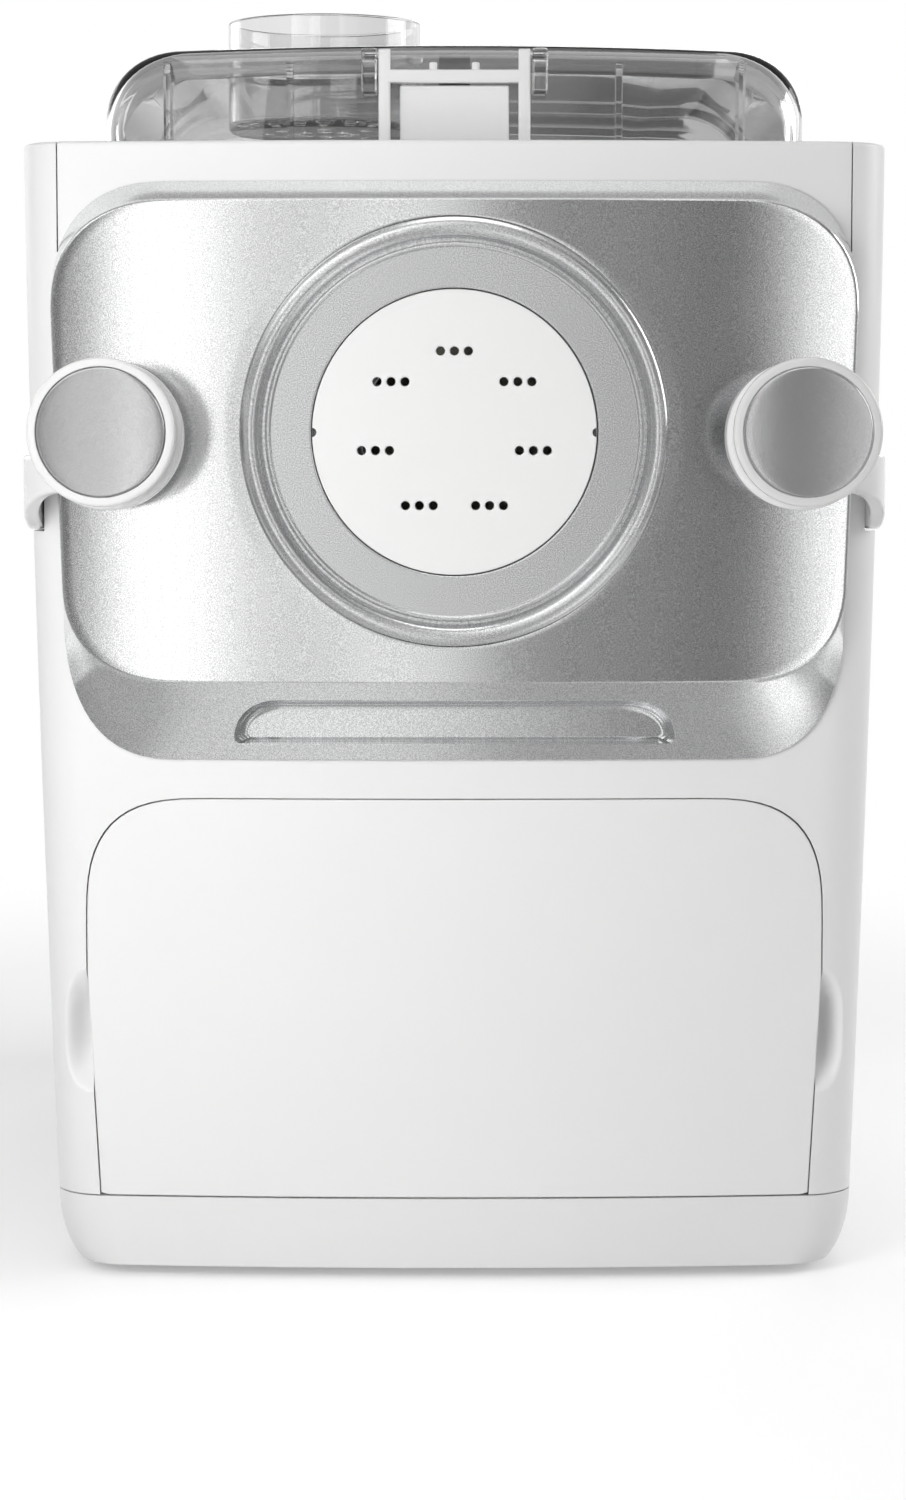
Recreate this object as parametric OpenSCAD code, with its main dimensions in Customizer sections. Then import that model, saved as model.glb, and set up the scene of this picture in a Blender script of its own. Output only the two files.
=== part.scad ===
// Countertop electric pasta maker: a mixing chamber and auger behind a clamped front panel,
// a geared motor behind them, a hinged clear lid on top and a storage drawer below.
// Millimetres. +Z up, the front faces -Y. The origin is on the table, under the middle of the box.

/* [Body] */
// Width of the body across its top edge
body_w = 233.4; // [228:0.2:246]
// Depth of the body from its front wall to its back wall
body_d = 362; // [358:1:400]
// Height of the top deck above the table
deck_z = 308.2; // [306:0.2:322]
// Height of the seam between the base and the shell
seam_z = 22.3; // [20:0.1:25]
// Narrowing of each side from the deck down to the base seam
side_taper = 6.8; // [4:0.1:8]
// Radius of the gentle curve of the front, seen from above
front_r = 1075; // [900:5:1600]
// Radius of the two vertical front corners
front_corner_r = 15; // [13:0.5:18]
// Radius of the two vertical back corners
rear_corner_r = 45; // [30:1:60]
// Wall of the moulded shell
shell_wall = 2.6; // [2.2:0.1:3]
// Thickness of the top deck
deck_t = 4; // [3.6:0.1:5]
// Chamfer round the top edge of the body
top_edge = 1.2; // [0.6:0.1:2]
// Distance from the side of the body to the seam of the deck
deck_inset = 10.4; // [9:0.1:12]
// Height of the apron of the deck, which runs down the front to behind the panel
apron_h = 29; // [25:0.5:34]
// Gap that shows at the seams
seam_gap = 0.5; // [0.3:0.05:0.7]

/* [Base] */
// Height of the base pan's underside above the table
foot_h = 3; // [2:0.5:5]
// How far the base curves inward under the body
base_tuck = 12; // [8:0.5:14]
// Radius of each rubber foot
foot_r = 9; // [6:0.5:12]
// Thickness of the base pan's floor
base_floor = 2.6; // [2:0.1:4]

/* [Front panel] */
// How far the face of the panel stands in front of the shell
panel_t = 9; // [8:0.5:10]
// Height of the panel's top edge
panel_top = 297.3; // [295:0.1:300]
// Height of the panel's bottom edge
panel_bottom = 142.6; // [140:0.1:144]
// Height of the top of the raised face
face_top = 292; // [288:0.5:293]
// Height of the bottom of the raised face
face_bottom = 164; // [162.5:0.5:165]
// Distance from the side of the body to the side of the panel
panel_inset = 8.7; // [8.4:0.1:11]
// Height of the outlet and of the mixer shaft
axis_z = 230.6; // [230:0.1:232]
// Radius of the white shaping disc
disc_r = 37.8; // [36:0.1:40]
// Thickness of the shaping disc
disc_t = 6; // [4:0.5:7]
// Number of clusters of outlet holes
clusters = 7; // [5:1:8]
// Radius of one outlet hole
outlet_hole_r = 1.2; // [0.8:0.1:1.4]
// Outer radius of the ring round the disc
ring_r = 57; // [55:0.5:59]
// Depth of the finger recess in the lower bevel
grip_depth = 9; // [6:0.5:10]

/* [Clamps] */
// Distance of each knob from the middle
knob_x = 90.6; // [89:0.1:92]
// Radius of a knob
knob_r = 19.1; // [17:0.1:21]
// Length of a knob along its axis
knob_len = 15; // [12:0.5:16]
// Distance from the shell's front to the face of a knob's cap
knob_reach = 43; // [42:0.5:46]
// Radius of the silver cap in a knob
cap_r = 16.5; // [14:0.1:17]
// Height of an arm strap
arm_h = 20.1; // [17:0.1:22]
// Thickness of an arm strap
arm_t = 4; // [3.6:0.1:4.4]
// How far an arm stands proud of the side of the body
arm_proud = 1.6; // [1:0.1:2.4]
// Height of the lower edge of an arm at the side
arm_z = 204.5; // [203:0.5:207]
// Distance from the shell's front back to an arm's hinge pin
arm_pin_set = 62; // [55:1:70]
// Radius of a clamp spindle
spindle_r = 4; // [3:0.1:5]
// Travel of a clamp screw
screw_travel = 4.5; // [3:0.1:4.6]

/* [Lid] */
// Half width of the lid
lid_x = 96.5; // [94:0.5:100]
// Height of the lid's crown above the deck
lid_h = 29.3; // [27.5:0.1:33]
// Length of the lid from front to back
lid_len = 196; // [190:1:204]
// Distance from the shell's front to the lid
lid_set = 36; // [35:0.5:37]
// Wall of the lid
lid_wall = 2.5; // [2:0.1:3]
// Rounding of the lid's front and back edges
lid_edge = 8; // [5:0.5:10]
// Outer radius of the liquid inlet
inlet_r = 28.4; // [24:0.1:30]
// Sideways place of the liquid inlet
inlet_x = -37.8; // [-45:0.1:-34]
// Distance from the front of the lid to the axis of the inlet
inlet_set = 65; // [55:1:75]
// Height of the liquid inlet's rim above the deck
inlet_top = 41.8; // [38:0.1:50]

/* [Chamber] */
// Inner radius of the mixing chamber
chamber_r = 77; // [76:0.1:78]
// Wall of the mixing chamber
chamber_wall = 2.5; // [2:0.1:3]
// Length of the mixing chamber
chamber_len = 182; // [176:1:184]
// Distance from the shell's front to the chamber
chamber_set = 40; // [40:0.5:42]
// Inner radius of the extrusion tube
tube_r = 26.3; // [26:0.1:28]
// Radius of the auger
auger_r = 25.5; // [23:0.1:25.6]
// Pitch of the auger
auger_pitch = 30; // [24:1:36]
// Reach of the paddle from its axis
paddle_r = 70; // [60:0.5:73]

/* [Drive] */
// Radius of the mixer shaft
shaft_r = 5; // [4:0.1:6]
// Tooth module of the slow gear pair
slow_module = 1.75; // [1.6:0.05:1.8]
// Tooth module of the fast gear pair
fast_module = 1.25; // [1.1:0.05:1.3]
// Teeth on the wheels
wheel_teeth = 51; // [45:1:51]
// Teeth on the pinions
pinion_teeth = 17; // [17:1:20]
// Radius of the motor
motor_r = 36; // [30:0.5:38]
// Length of the motor
motor_len = 56; // [46:1:58]

/* [Drawer] */
// Height of the top edge of the drawer front
drawer_top = 131.6; // [128:0.1:132]
// Half width of the drawer front
drawer_x = 100; // [97:0.1:101]
// Length of the drawer tray
tray_len = 166; // [140:1:170]
// Wall of the drawer tray
tray_wall = 2; // [1.6:0.1:3]
// Height of a finger scoop beside the drawer
scoop_h = 34.2; // [25:0.1:40]

/* [Controls] */
// Radius of a button
button_r = 7; // [5:0.5:8]
// Travel of a button
button_travel = 1; // [0.6:0.1:1.1]
// Radius of the bore for the mains cord
gland_r = 3.6; // [3:0.1:4.5]
// How far the cord gland stands out at the back
gland_reach = 5; // [3:0.5:8]

/* [Hidden] */

$fn = 96;
// Clearances: a running fit, a loose fit, and the gap left between parts that only stand together.
fit = 0.05;
loose = 0.3;
rest_gap = 0.1;
past = 20; // how far a cut runs past the face it cuts

// Depth positions, from the front to the back.
overall_d = knob_reach + body_d + gland_reach;
y_front = knob_reach - overall_d / 2;
y_back = y_front + body_d;
y_face = y_front - panel_t;
y_cap = y_front - knob_reach;
y_bulge = y_front + front_r; // centre of the front curve
lid_y0 = y_front + lid_set;
lid_y1 = lid_y0 + lid_len;
chamber_y0 = y_front + chamber_set;
chamber_y1 = chamber_y0 + chamber_len;
plate_t = 3;
gearbox_set = 10;
gearbox_y0 = chamber_y1 + gearbox_set;
gearbox_gap = 33;
gearbox_y1 = gearbox_y0 + plate_t + gearbox_gap;
motor_y0 = gearbox_y1 + plate_t;
drawer_front_t = 10;
front_back = y_front + drawer_front_t;

// Heights.
floor_z = foot_h + base_floor;
z_shell = seam_z + seam_gap / 2;
z_base = seam_z - seam_gap / 2;
chassis_z = drawer_top + 1.4;
chassis_t = 3;

// Shared sizes.
seam_x = body_w / 2 - deck_inset;
tray_y0 = front_back + rest_gap;
tray_y1 = tray_y0 + tray_len;
lug_wall = 2;
scoop_x = drawer_x + 6.4;
scoop_z = 50.9;
scoop_depth = 10;
screw_r = 1.6;
boss_r = 4.5;
arc_steps = 6;
front_steps = 16;

// Half width of the body at height z.
function half_w(z) =
    body_w / 2 - side_taper * pow(max(0, deck_z - z) / (deck_z - seam_z), 1.5);

// Setback of the front curve at a distance x from the middle.
function sag(x) = front_r - sqrt(front_r * front_r - x * x);

// Outline of the body seen from above, for half width w, moved inward by t.
function plan(w, t) =
    let (r = front_r - t, rf = front_corner_r - t, rr = rear_corner_r - t, x = w - t)
    let (yc = y_bulge - sqrt(pow(r - rf, 2) - pow(x - rf, 2)), phi = asin((x - rf) / (r - rf)))
    let (yr = y_back - t - rr)
    concat(
        [for (i = [0 : front_steps]) let (a = phi * (2 * i / front_steps - 1))
            [r * sin(a), y_bulge - r * cos(a)]],
        [for (i = [1 : arc_steps]) let (a = phi + (90 - phi) * i / arc_steps)
            [x - rf + rf * sin(a), yc - rf * cos(a)]],
        [for (i = [0 : arc_steps]) let (a = 90 * i / arc_steps)
            [x - rr + rr * cos(a), yr + rr * sin(a)]],
        [for (i = [0 : arc_steps]) let (a = 90 + 90 * i / arc_steps)
            [rr - x + rr * cos(a), yr + rr * sin(a)]],
        [for (i = [arc_steps : -1 : 1]) let (a = phi + (90 - phi) * i / arc_steps)
            [rf - x - rf * sin(a), yc - rf * cos(a)]]);

function at_z(points, z) = [for (p = points) [p[0], p[1], z]];
function at_y(points, y) = [for (p = points) [p[0], y, p[1]]];

// One quarter of a superellipse from angle a0 to a0 + 90, with centre c and half axes rx, rz.
function corner(c, rx, rz, a0, power, steps = 8) =
    [for (i = [0 : steps]) let (a = a0 + 90 * i / steps)
        [c[0] + rx * sign(round(cos(a) * 1e6)) * pow(abs(cos(a)), 2 / power),
         c[1] + rz * sign(round(sin(a) * 1e6)) * pow(abs(sin(a)), 2 / power)]];

// Rectangle with round corners, from [x0, y0] to [x1, y1].
function round_rect(x0, y0, x1, y1, r, steps = 6) = concat(
    corner([x1 - r, y1 - r], r, r, 0, 2, steps), corner([x0 + r, y1 - r], r, r, 90, 2, steps),
    corner([x0 + r, y0 + r], r, r, 180, 2, steps), corner([x1 - r, y0 + r], r, r, 270, 2, steps));

// Solid through a stack of outlines of equally many points.
module loft(rings) {
    n = len(rings[0]);
    k = len(rings);
    polyhedron(points = [for (r = rings) each r], faces = concat(
        [[for (i = [0 : n - 1]) i]],
        [for (j = [0 : k - 2], i = [0 : n - 1])
            [j * n + i, (j + 1) * n + i, (j + 1) * n + (i + 1) % n]],
        [for (j = [0 : k - 2], i = [0 : n - 1])
            [j * n + i, (j + 1) * n + (i + 1) % n, j * n + (i + 1) % n]],
        [[for (i = [n - 1 : -1 : 0]) (k - 1) * n + i]]));
}

// Body outline between two heights, moved inward by t, with a chamfer at the top.
module body_solid(t, z0, z1, edge = 0) {
    levels = 6;
    top = z1 - edge;
    sides = [for (i = [0 : levels]) let (z = z0 + (top - z0) * i / levels) at_z(plan(half_w(z), t), z)];
    loft(edge > 0 ? concat(sides, [at_z(plan(half_w(z1), t + edge), z1)]) : sides);
}

// Extrudes an outline drawn in X and Z along Y, from y0 to y1.
module along_y(y0, y1) {
    translate([0, y1, 0]) rotate([90, 0, 0]) linear_extrude(y1 - y0) children();
}

module rod_y(x, y0, y1, z, r) {
    translate([x, y1, z]) rotate([90, 0, 0]) cylinder(r = r, h = y1 - y0);
}

module rod_x(x0, x1, y, z, r) {
    translate([x0, y, z]) rotate([0, 90, 0]) cylinder(r = r, h = x1 - x0);
}

module rod_z(x, y, z0, z1, r) {
    translate([x, y, z0]) cylinder(r = r, h = z1 - z0);
}

module block(x0, x1, y0, y1, z0, z1) {
    translate([x0, y0, z0]) cube([x1 - x0, y1 - y0, z1 - z0]);
}

module both_sides() {
    children();
    mirror([1, 0, 0]) children();
}

// Everything behind the front curve, moved outward by t.
module front_curve(t) {
    translate([0, y_bulge, 0]) cylinder(r = front_r + t, h = deck_z + past, $fn = 720);
}

// ---------------------------------------------------------------- base

pan_lip = 4;
pan_drop = 3; // height left below the curve of the base
base_screw_inset = 30; // distance of the base screws from the side of the body
foot_inset = 46; // distance of the feet from the side of the body
foot_seat = 1.2; // depth of a foot's recess in the pan
foot_set = 30; // distance of the front feet from the shell's front
back_set = 46; // distance of the back feet and screws from the back
base_screw_x = body_w / 2 - base_screw_inset;
foot_x = body_w / 2 - foot_inset;
foot_y = [y_front + foot_set, y_back - back_set];
base_screw_y = [tray_y1 + base_screw_inset, y_back - back_set]; // the front pair stands behind the drawer

function pan_tuck(z) =
    let (b = z_base - foot_h + pan_drop) base_tuck * (1 - sqrt(1 - pow(min(1, (z_base - z) / b), 2)));

module pan_solid(t, z0) {
    levels = 7;
    loft([for (i = [0 : levels]) let (z = z0 + (z_base - z0) * i / levels)
        at_z(plan(half_w(z_base) - pan_tuck(z), t), z)]);
}

module base_pan() color("whitesmoke") difference() {
    union() {
        difference() {
            pan_solid(0, foot_h);
            pan_solid(shell_wall, floor_z);
            translate([0, 0, z_base - seam_gap]) linear_extrude(past)
                polygon(plan(half_w(z_base), shell_wall + loose));
        }
        difference() {
            translate([0, 0, floor_z + 2]) linear_extrude(z_shell + pan_lip - floor_z - 2)
                polygon(plan(half_w(z_base), shell_wall + loose));
            translate([0, 0, floor_z]) linear_extrude(z_shell + pan_lip)
                polygon(plan(half_w(z_base), 2 * shell_wall + loose));
            // The drawer slides out over the front of the pan.
            block(-drawer_x - 2, drawer_x + 2, y_front - past, y_front + past, z_base, deck_z);
        }
        both_sides() for (y = base_screw_y) rod_z(base_screw_x, y, foot_h + 1, z_base - 4, boss_r);
    }
    both_sides() for (y = base_screw_y) {
        rod_z(base_screw_x, y, -1, z_base + 1, screw_r + fit);
        rod_z(base_screw_x, y, -1, foot_h + 4, screw_r + 2);
    }
    both_sides() for (y = foot_y) rod_z(foot_x, y, -1, foot_h + foot_seat, foot_r + rest_gap);
}

module rubber_feet() color("dimgray") both_sides() for (y = foot_y)
    rod_z(foot_x, y, 0, foot_h + foot_seat - rest_gap, foot_r);

module base_screws() color("silver") both_sides() for (y = base_screw_y) {
    rod_z(base_screw_x, y, foot_h + 3.9 - 2, foot_h + 3.9, screw_r + 1.6);
    rod_z(base_screw_x, y, foot_h + 3.9, z_base + 10, screw_r);
}

// ---------------------------------------------------------------- shell and deck

rear_x = body_w / 2 - rear_corner_r + 8.3;
rear_z0 = seam_z + 17.7;
rear_z1 = deck_z - 24.2;
rear_t = 2.4;
shell_boss_z = z_base - 3.9;

// The deck's share of the body: its top plate, and its apron down the front.
module deck_share(g) {
    rr = rear_corner_r - deck_inset + g;
    x = seam_x + g;
    y1 = y_back - deck_inset + g;
    union() {
        block(-x, x, y_front - past, y1 - rr, deck_z - deck_t - past, deck_z + past);
        block(rr - x, x - rr, y1 - rr - 1, y1, deck_z - deck_t - past, deck_z + past);
        both_sides() rod_z(x - rr, y1 - rr, deck_z - deck_t - past, deck_z + past, rr);
        block(-x, x, y_front - past, y_front + past, deck_z - apron_h - g, deck_z);
    }
}

drawer_taper = 3.3; // how much narrower the drawer front is at each side of its foot
drawer_bend_z = scoop_z + scoop_h - 1; // above this its sides are upright

// Outline of the drawer front in X and Z, moved outward by g.
function drawer_outline(g) =
    let (x = drawer_x + g, z1 = drawer_top + g, z0 = seam_z + seam_gap - g, rx = 20, rz = 26)
    concat(
        [[drawer_taper - x, z0], [x - drawer_taper, z0], [x, drawer_bend_z]],
        corner([x - rx, z1 - rz], rx, rz, 0, 2.2), corner([rx - x, z1 - rz], rx, rz, 90, 2.2),
        [[-x, drawer_bend_z]]);

pin_r = 1.5;
barrel_r = 4.6; // round end of an arm about its pin
arm_mid_z = arm_z + arm_h / 2;
arm_out = half_w(arm_mid_z) + arm_proud;
arm_in = arm_out - arm_t;
pin_x = arm_out - barrel_r;
pin_y = y_front + arm_pin_set;
pocket_gap = 0.5;
lug_len = 7; // length of an arm pin in the shell above and below the arm

module arm_lug() {
    block(pin_x - barrel_r - pocket_gap - lug_wall, body_w, y_front - past, pin_y + barrel_r + 6,
        arm_z - lug_len - 1, arm_z + arm_h + lug_len + 1);
}

module arm_pocket() {
    union() {
        block(arm_in - pocket_gap, body_w, y_front - past, pin_y + barrel_r + pocket_gap,
            arm_z - pocket_gap, arm_z + arm_h + pocket_gap);
        rod_z(pin_x, pin_y, arm_z - pocket_gap, arm_z + arm_h + pocket_gap, barrel_r + pocket_gap);
        rod_z(pin_x, pin_y, arm_z - lug_len, arm_z + arm_h + lug_len, pin_r + fit);
    }
}

module scoop(t) {
    block(drawer_x - 4 - t, scoop_x + t, y_front - past,
        y_front + sag(scoop_x) + scoop_depth + t, scoop_z - t, scoop_z + scoop_h + t);
}

outlet_cut_r = ring_r + 3;
grip_x = 59.4;
grip_h = 12;
grip_z0 = panel_bottom + 4.5;
grip_z1 = grip_z0 + grip_h;
grip_slant = 9.4;
grip_wall = 2.4;
grip_back = y_front - 5 + grip_depth + grip_wall;

// Ledges behind the back opening, which take the cover's screws.
module rear_pads() {
    for (x = [-rear_x - 6, rear_x - 2]) block(x, x + 8, y_back - 12, y_back, rear_z0 - 6, rear_z1 + 6);
}

module rear_screw_places() {
    for (x = [-rear_x + 1.6, rear_x - 1.6], z = [rear_z0 + 20, rear_z1 - 20]) translate([x, 0, z]) children();
}

module outer_shell() color("white") difference() {
    body_solid(0, z_shell, deck_z, top_edge);
    difference() {
        body_solid(shell_wall, seam_z - past / 2, deck_z - deck_t);
        both_sides() arm_lug();
        both_sides() scoop(lug_wall);
        both_sides() for (y = base_screw_y) rod_z(base_screw_x, y, shell_boss_z, z_shell + 22, boss_r);
        both_sides() for (y = base_screw_y)
            block(base_screw_x, body_w, y - 1.2, y + 1.2, z_shell + 6, z_shell + 22);
        rear_pads();
    }
    deck_share(seam_gap);
    along_y(y_front - past, front_back + 1) polygon(drawer_outline(seam_gap));
    block(-drawer_x + 4, drawer_x - 4, y_front - past, front_back + 1, z_shell - past, z_shell + 2);
    rod_y(0, y_front - past, y_front + past, axis_z, outlet_cut_r);
    block(-grip_x - 5, grip_x + 5, y_front - past, y_front + past, panel_bottom + 1.6, face_bottom + 6);
    both_sides() arm_pocket();
    both_sides() scoop(0);
    both_sides() for (y = base_screw_y) rod_z(base_screw_x, y, z_shell - past, z_base + 12, screw_r + fit);
    block(-rear_x, rear_x, y_back - rear_t - rest_gap, y_back + past, rear_z0, rear_z1);
    block(6 - rear_x, rear_x - 6, y_back - past, y_back + past, rear_z0 + 6, rear_z1 - 6);
    rear_screw_places() rod_y(0, y_back - 10, y_back + 1, 0, screw_r + fit);
}

gland_x = rear_x - 20;
gland_z = rear_z0 + 22;
vent_h = 4;
vent_pitch = 9;
vent_x = rear_x - 30;
low_vent_z = rear_z0 + 50;
high_vent_z = rear_z1 - 44;

module rear_cover() color("whitesmoke") difference() {
    block(loose - rear_x, rear_x - loose, y_back - rear_t, y_back, rear_z0 + loose, rear_z1 - loose);
    for (i = [0 : 10]) let (z = high_vent_z - i * vent_pitch)
        block(-vent_x, vent_x, y_back - past, y_back + past, z, z + vent_h);
    for (i = [0 : 4]) let (z = low_vent_z + i * vent_pitch)
        block(-vent_x, gland_x - 40, y_back - past, y_back + past, z, z + vent_h);
    rod_y(gland_x, y_back - past, y_back + past, gland_z, gland_r + 4.1);
    rear_screw_places() rod_y(0, y_back - past, y_back + past, 0, screw_r + 0.3);
}

module rear_cover_screws() color("silver") rear_screw_places() {
    rod_y(0, y_back - 9, y_back + rest_gap, 0, screw_r);
    rod_y(0, y_back + rest_gap, y_back + 1.6, 0, screw_r + 1.4);
}

chamber_x = chamber_r + chamber_wall;
flange_w = 4.3;
flange_t = 2.3;
hinge_y = lid_y1 + 5;
hinge_z = deck_z + 4.1;
hinge_r = 3.6;
hinge_pin_r = 1.5;
knuckle_x0 = 63.4;
knuckle_x1 = 76.6;
lug_t = 5;

// The control panel's place in the deck.
panel_x = 70;
ctrl_set = 25;
ctrl_d = 82;
panel_y0 = hinge_y + ctrl_set;
panel_y1 = panel_y0 + ctrl_d;
ctrl_t = 2.6;
ctrl_top = deck_z + 0.25;
ctrl_ledge = 5;

module top_deck() color("white") difference() {
    union() {
        intersection() {
            difference() {
                body_solid(0, deck_z - apron_h - past, deck_z, top_edge);
                body_solid(shell_wall, deck_z - apron_h - 2 * past, deck_z - deck_t);
            }
            deck_share(0);
        }
        both_sides() for (x = [knuckle_x0 - 0.4 - lug_t, knuckle_x1 + 0.4]) {
            block(x, x + lug_t, hinge_y - hinge_r, hinge_y + hinge_r, deck_z - 1, hinge_z);
            rod_x(x, x + lug_t, hinge_y, hinge_z, hinge_r);
        }
    }
    block(-chamber_x - 0.5, chamber_x + 0.5, chamber_y0 - 0.5, chamber_y1 + 0.5, deck_z - past, deck_z + 1);
    block(-chamber_x - flange_w - 0.2, chamber_x + flange_w + 0.2, chamber_y0 - flange_w - 0.2,
        chamber_y1 + flange_w + 0.2, deck_z - flange_t - rest_gap, deck_z + 1);
    block(-panel_x, panel_x, panel_y0, panel_y1, ctrl_top - ctrl_t - rest_gap, deck_z + 1);
    block(ctrl_ledge - panel_x, panel_x - ctrl_ledge, panel_y0 + ctrl_ledge, panel_y1 - ctrl_ledge,
        deck_z - past, deck_z + 1);
    both_sides() rod_x(knuckle_x0 - past, knuckle_x1 + past, hinge_y, hinge_z, hinge_pin_r + fit);
    rod_y(0, y_front - past, y_front + past, axis_z, outlet_cut_r);
}

latch_y = lid_y0 - 7;
latch_z = deck_z + 25;
latch_x0 = 17.5;
latch_x1 = 20.8;

post_half_w = 15;
post_h = 17.3;
post_t = 3;
post_y1 = latch_y + 5.5;

module latch_post() color("white") union() {
    block(-post_half_w, post_half_w, post_y1 - post_t, post_y1, deck_z, deck_z + post_h);
    block(-post_half_w, post_half_w, latch_y - 6, post_y1, deck_z, deck_z + 1.6);
}

chassis_x = seam_x - 2.3;
saddle_x = 60;
saddle_t = 5;

module chassis_plate() color("lightgray") difference() {
    union() {
        block(-chassis_x, chassis_x, y_front + 14, chamber_y1 + 6, chassis_z, chassis_z + chassis_t);
        for (y = [chamber_y0 + 42, chamber_y1 - 30])
            block(-saddle_x, saddle_x, y, y + saddle_t, chassis_z + 1, axis_z - 0.65 * chamber_x);
    }
    rod_y(0, y_front, chamber_y1 + past, axis_z, chamber_x + rest_gap);
}

// ---------------------------------------------------------------- front panel and outlet

// Outline of the panel or of its raised face, in X and Z.
function panel_outline(x0, x1, z0, z1, rx, rz0, rz1) = concat(
    corner([x1 - rx, z1 - rz1], rx, rz1, 0, 2.3), corner([rx - x1, z1 - rz1], rx, rz1, 90, 2.3),
    corner([rx - x0, z0 + rz0], rx, rz0, 180, 2.5), corner([x0 - rx, z0 + rz0], rx, rz0, 270, 2.5));

panel_x1 = body_w / 2 - panel_inset;
panel_x0 = panel_x1 - 2.4;
face_in = 0.4;
panel_rx = 30; // half axes of the outline's corners: sideways, and upward at the bottom and the top
panel_rz0 = 42;
panel_rz1 = 31;
face_rx = 32;
face_rz = 28.5;
ring_seat = 2;
ring_spigot_r = ring_r - 7;
pad_r = 6.5;
pad_y = y_face + sag(knob_x - pad_r); // the most forward point of the panel's face under a clamp pad

module front_panel() {
    outer = panel_outline(panel_x0, panel_x1, panel_bottom, panel_top, panel_rx, panel_rz0, panel_rz1);
    face = panel_outline(panel_x0 - face_in, panel_x1 - face_in, face_bottom, face_top,
        face_rx, face_rz, face_rz);
    color("silver") difference() {
        union() {
            difference() {
                intersection() {
                    loft([at_y(outer, y_front + past), at_y(outer, y_front),
                        at_y(face, y_face), at_y(face, y_face - past)]);
                    front_curve(panel_t);
                }
                front_curve(fit);
            }
            block(-grip_x - 4, grip_x + 4, y_front - 1, grip_back, panel_bottom + 2.4, face_bottom + 5);
        }
        along_y(y_front - 2 * past, grip_back - grip_wall) polygon([[-grip_x, grip_z0], [grip_x, grip_z0],
            [grip_x - grip_slant, grip_z1], [grip_slant - grip_x, grip_z1]]);
        rod_y(0, y_face - past, y_back, axis_z, ring_spigot_r + 0.15);
        rod_y(0, y_face - past, y_face + ring_seat + fit, axis_z, ring_r + 0.2);
    }
}

module outlet_ring() color("lightgray") translate([0, y_face, axis_z]) rotate([90, 0, 0]) rotate_extrude()
    polygon([[disc_r + 0.2, -disc_t], [disc_r + 0.2, 0.5], [ring_r - 8.2, 0.5], [ring_r - 8, 1],
        [ring_r - 7, 1], [ring_r - 6.4, -1], [ring_r - 5.6, -1], [ring_r - 4.8, 0.6], [ring_r - 3.8, 1.3],
        [ring_r - 2.4, 1.6], [ring_r - 1, 1.2], [ring_r - 0.1, 0.2],
        [ring_r, -ring_seat], [ring_spigot_r, -ring_seat], [ring_spigot_r, -panel_t + 1],
        [disc_r - 3.8, -panel_t + 1], [disc_r - 3.8, -disc_t]]);

cluster_r = 21.5;
hole_pitch = 3.7;

module shaping_disc() color("white") difference() {
    rod_y(0, y_face - 0.3, y_face + disc_t - rest_gap - 0.2, axis_z, disc_r);
    for (i = [0 : clusters - 1], k = [-1 : 1]) {
        a = 90 + 360 * i / clusters;
        rod_y(cluster_r * cos(a) + k * hole_pitch, y_face - past, y_front + past,
            axis_z + cluster_r * sin(a), outlet_hole_r);
    }
    both_sides() rod_y(disc_r, y_face - past, y_face + 0.7, axis_z, 1.2);
}

tube_wall = 3;
tube_flange_r = tube_r + 7.7;
tube_end = chamber_y0 - 1.5;

module extrusion_tube() color("white") translate([0, tube_end, axis_z]) rotate([90, 0, 0])
    rotate_extrude() {
        len = tube_end - (y_front - 0.9);
        polygon([[tube_r, 0], [tube_flange_r, 0], [tube_flange_r, tube_wall],
            [tube_r + tube_wall, tube_wall], [tube_r + tube_wall, len - tube_wall],
            [ring_spigot_r - 1, len - tube_wall], [ring_spigot_r - 1, len], [tube_r, len]]);
    }

module tube_gasket() color("gray") difference() {
    rod_y(0, tube_end + rest_gap, chamber_y0 - rest_gap, axis_z, tube_flange_r - 1);
    rod_y(0, tube_end - 1, chamber_y0 + 1, axis_z, tube_r + 0.7);
}

// ---------------------------------------------------------------- mixer

auger_y0 = y_face + disc_t + 0.8;
auger_y1 = chamber_y0 + 56;
flight_deg = 26;

module auger() {
    len = auger_y1 - auger_y0;
    core = 8;
    color("ivory") translate([0, auger_y1, axis_z]) rotate([90, 0, 0])
        linear_extrude(len, twist = -360 * len / auger_pitch, slices = ceil(len / auger_pitch * 20),
            $fn = 0)
            polygon(concat(
                [for (a = [0 : flight_deg / 4 : flight_deg]) auger_r * [cos(a), sin(a)]],
                [for (i = [0 : 16]) let (a = flight_deg + (360 - flight_deg) * i / 16)
                    core * [cos(a), sin(a)]]));
}

hub_y0 = auger_y1 + rest_gap;
hub_y1 = chamber_y1 - chamber_wall - 3.5;
hub_r = 10;
spoke_w = 8;
spoke_t = 5;
blade_w = 8;
shaft_y0 = hub_y0 + 6;
shaft_y1 = gearbox_y1 + 2;

module mixing_paddle() color("white") difference() {
    union() {
        rod_y(0, hub_y0, hub_y1, axis_z, hub_r);
        for (y = [hub_y0 + 4, (hub_y0 + hub_y1 - spoke_w) / 2, hub_y1 - spoke_w - 4])
            block(-paddle_r + 2, paddle_r - 2, y, y + spoke_w, axis_z - spoke_t / 2, axis_z + spoke_t / 2);
        both_sides() block(paddle_r - blade_w, paddle_r, hub_y0 + 2, hub_y1 - 2, axis_z - 4, axis_z + 4);
    }
    rod_y(0, shaft_y0 - fit, hub_y1 + 1, axis_z, shaft_r + fit);
}

seal_r = 11;

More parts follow.
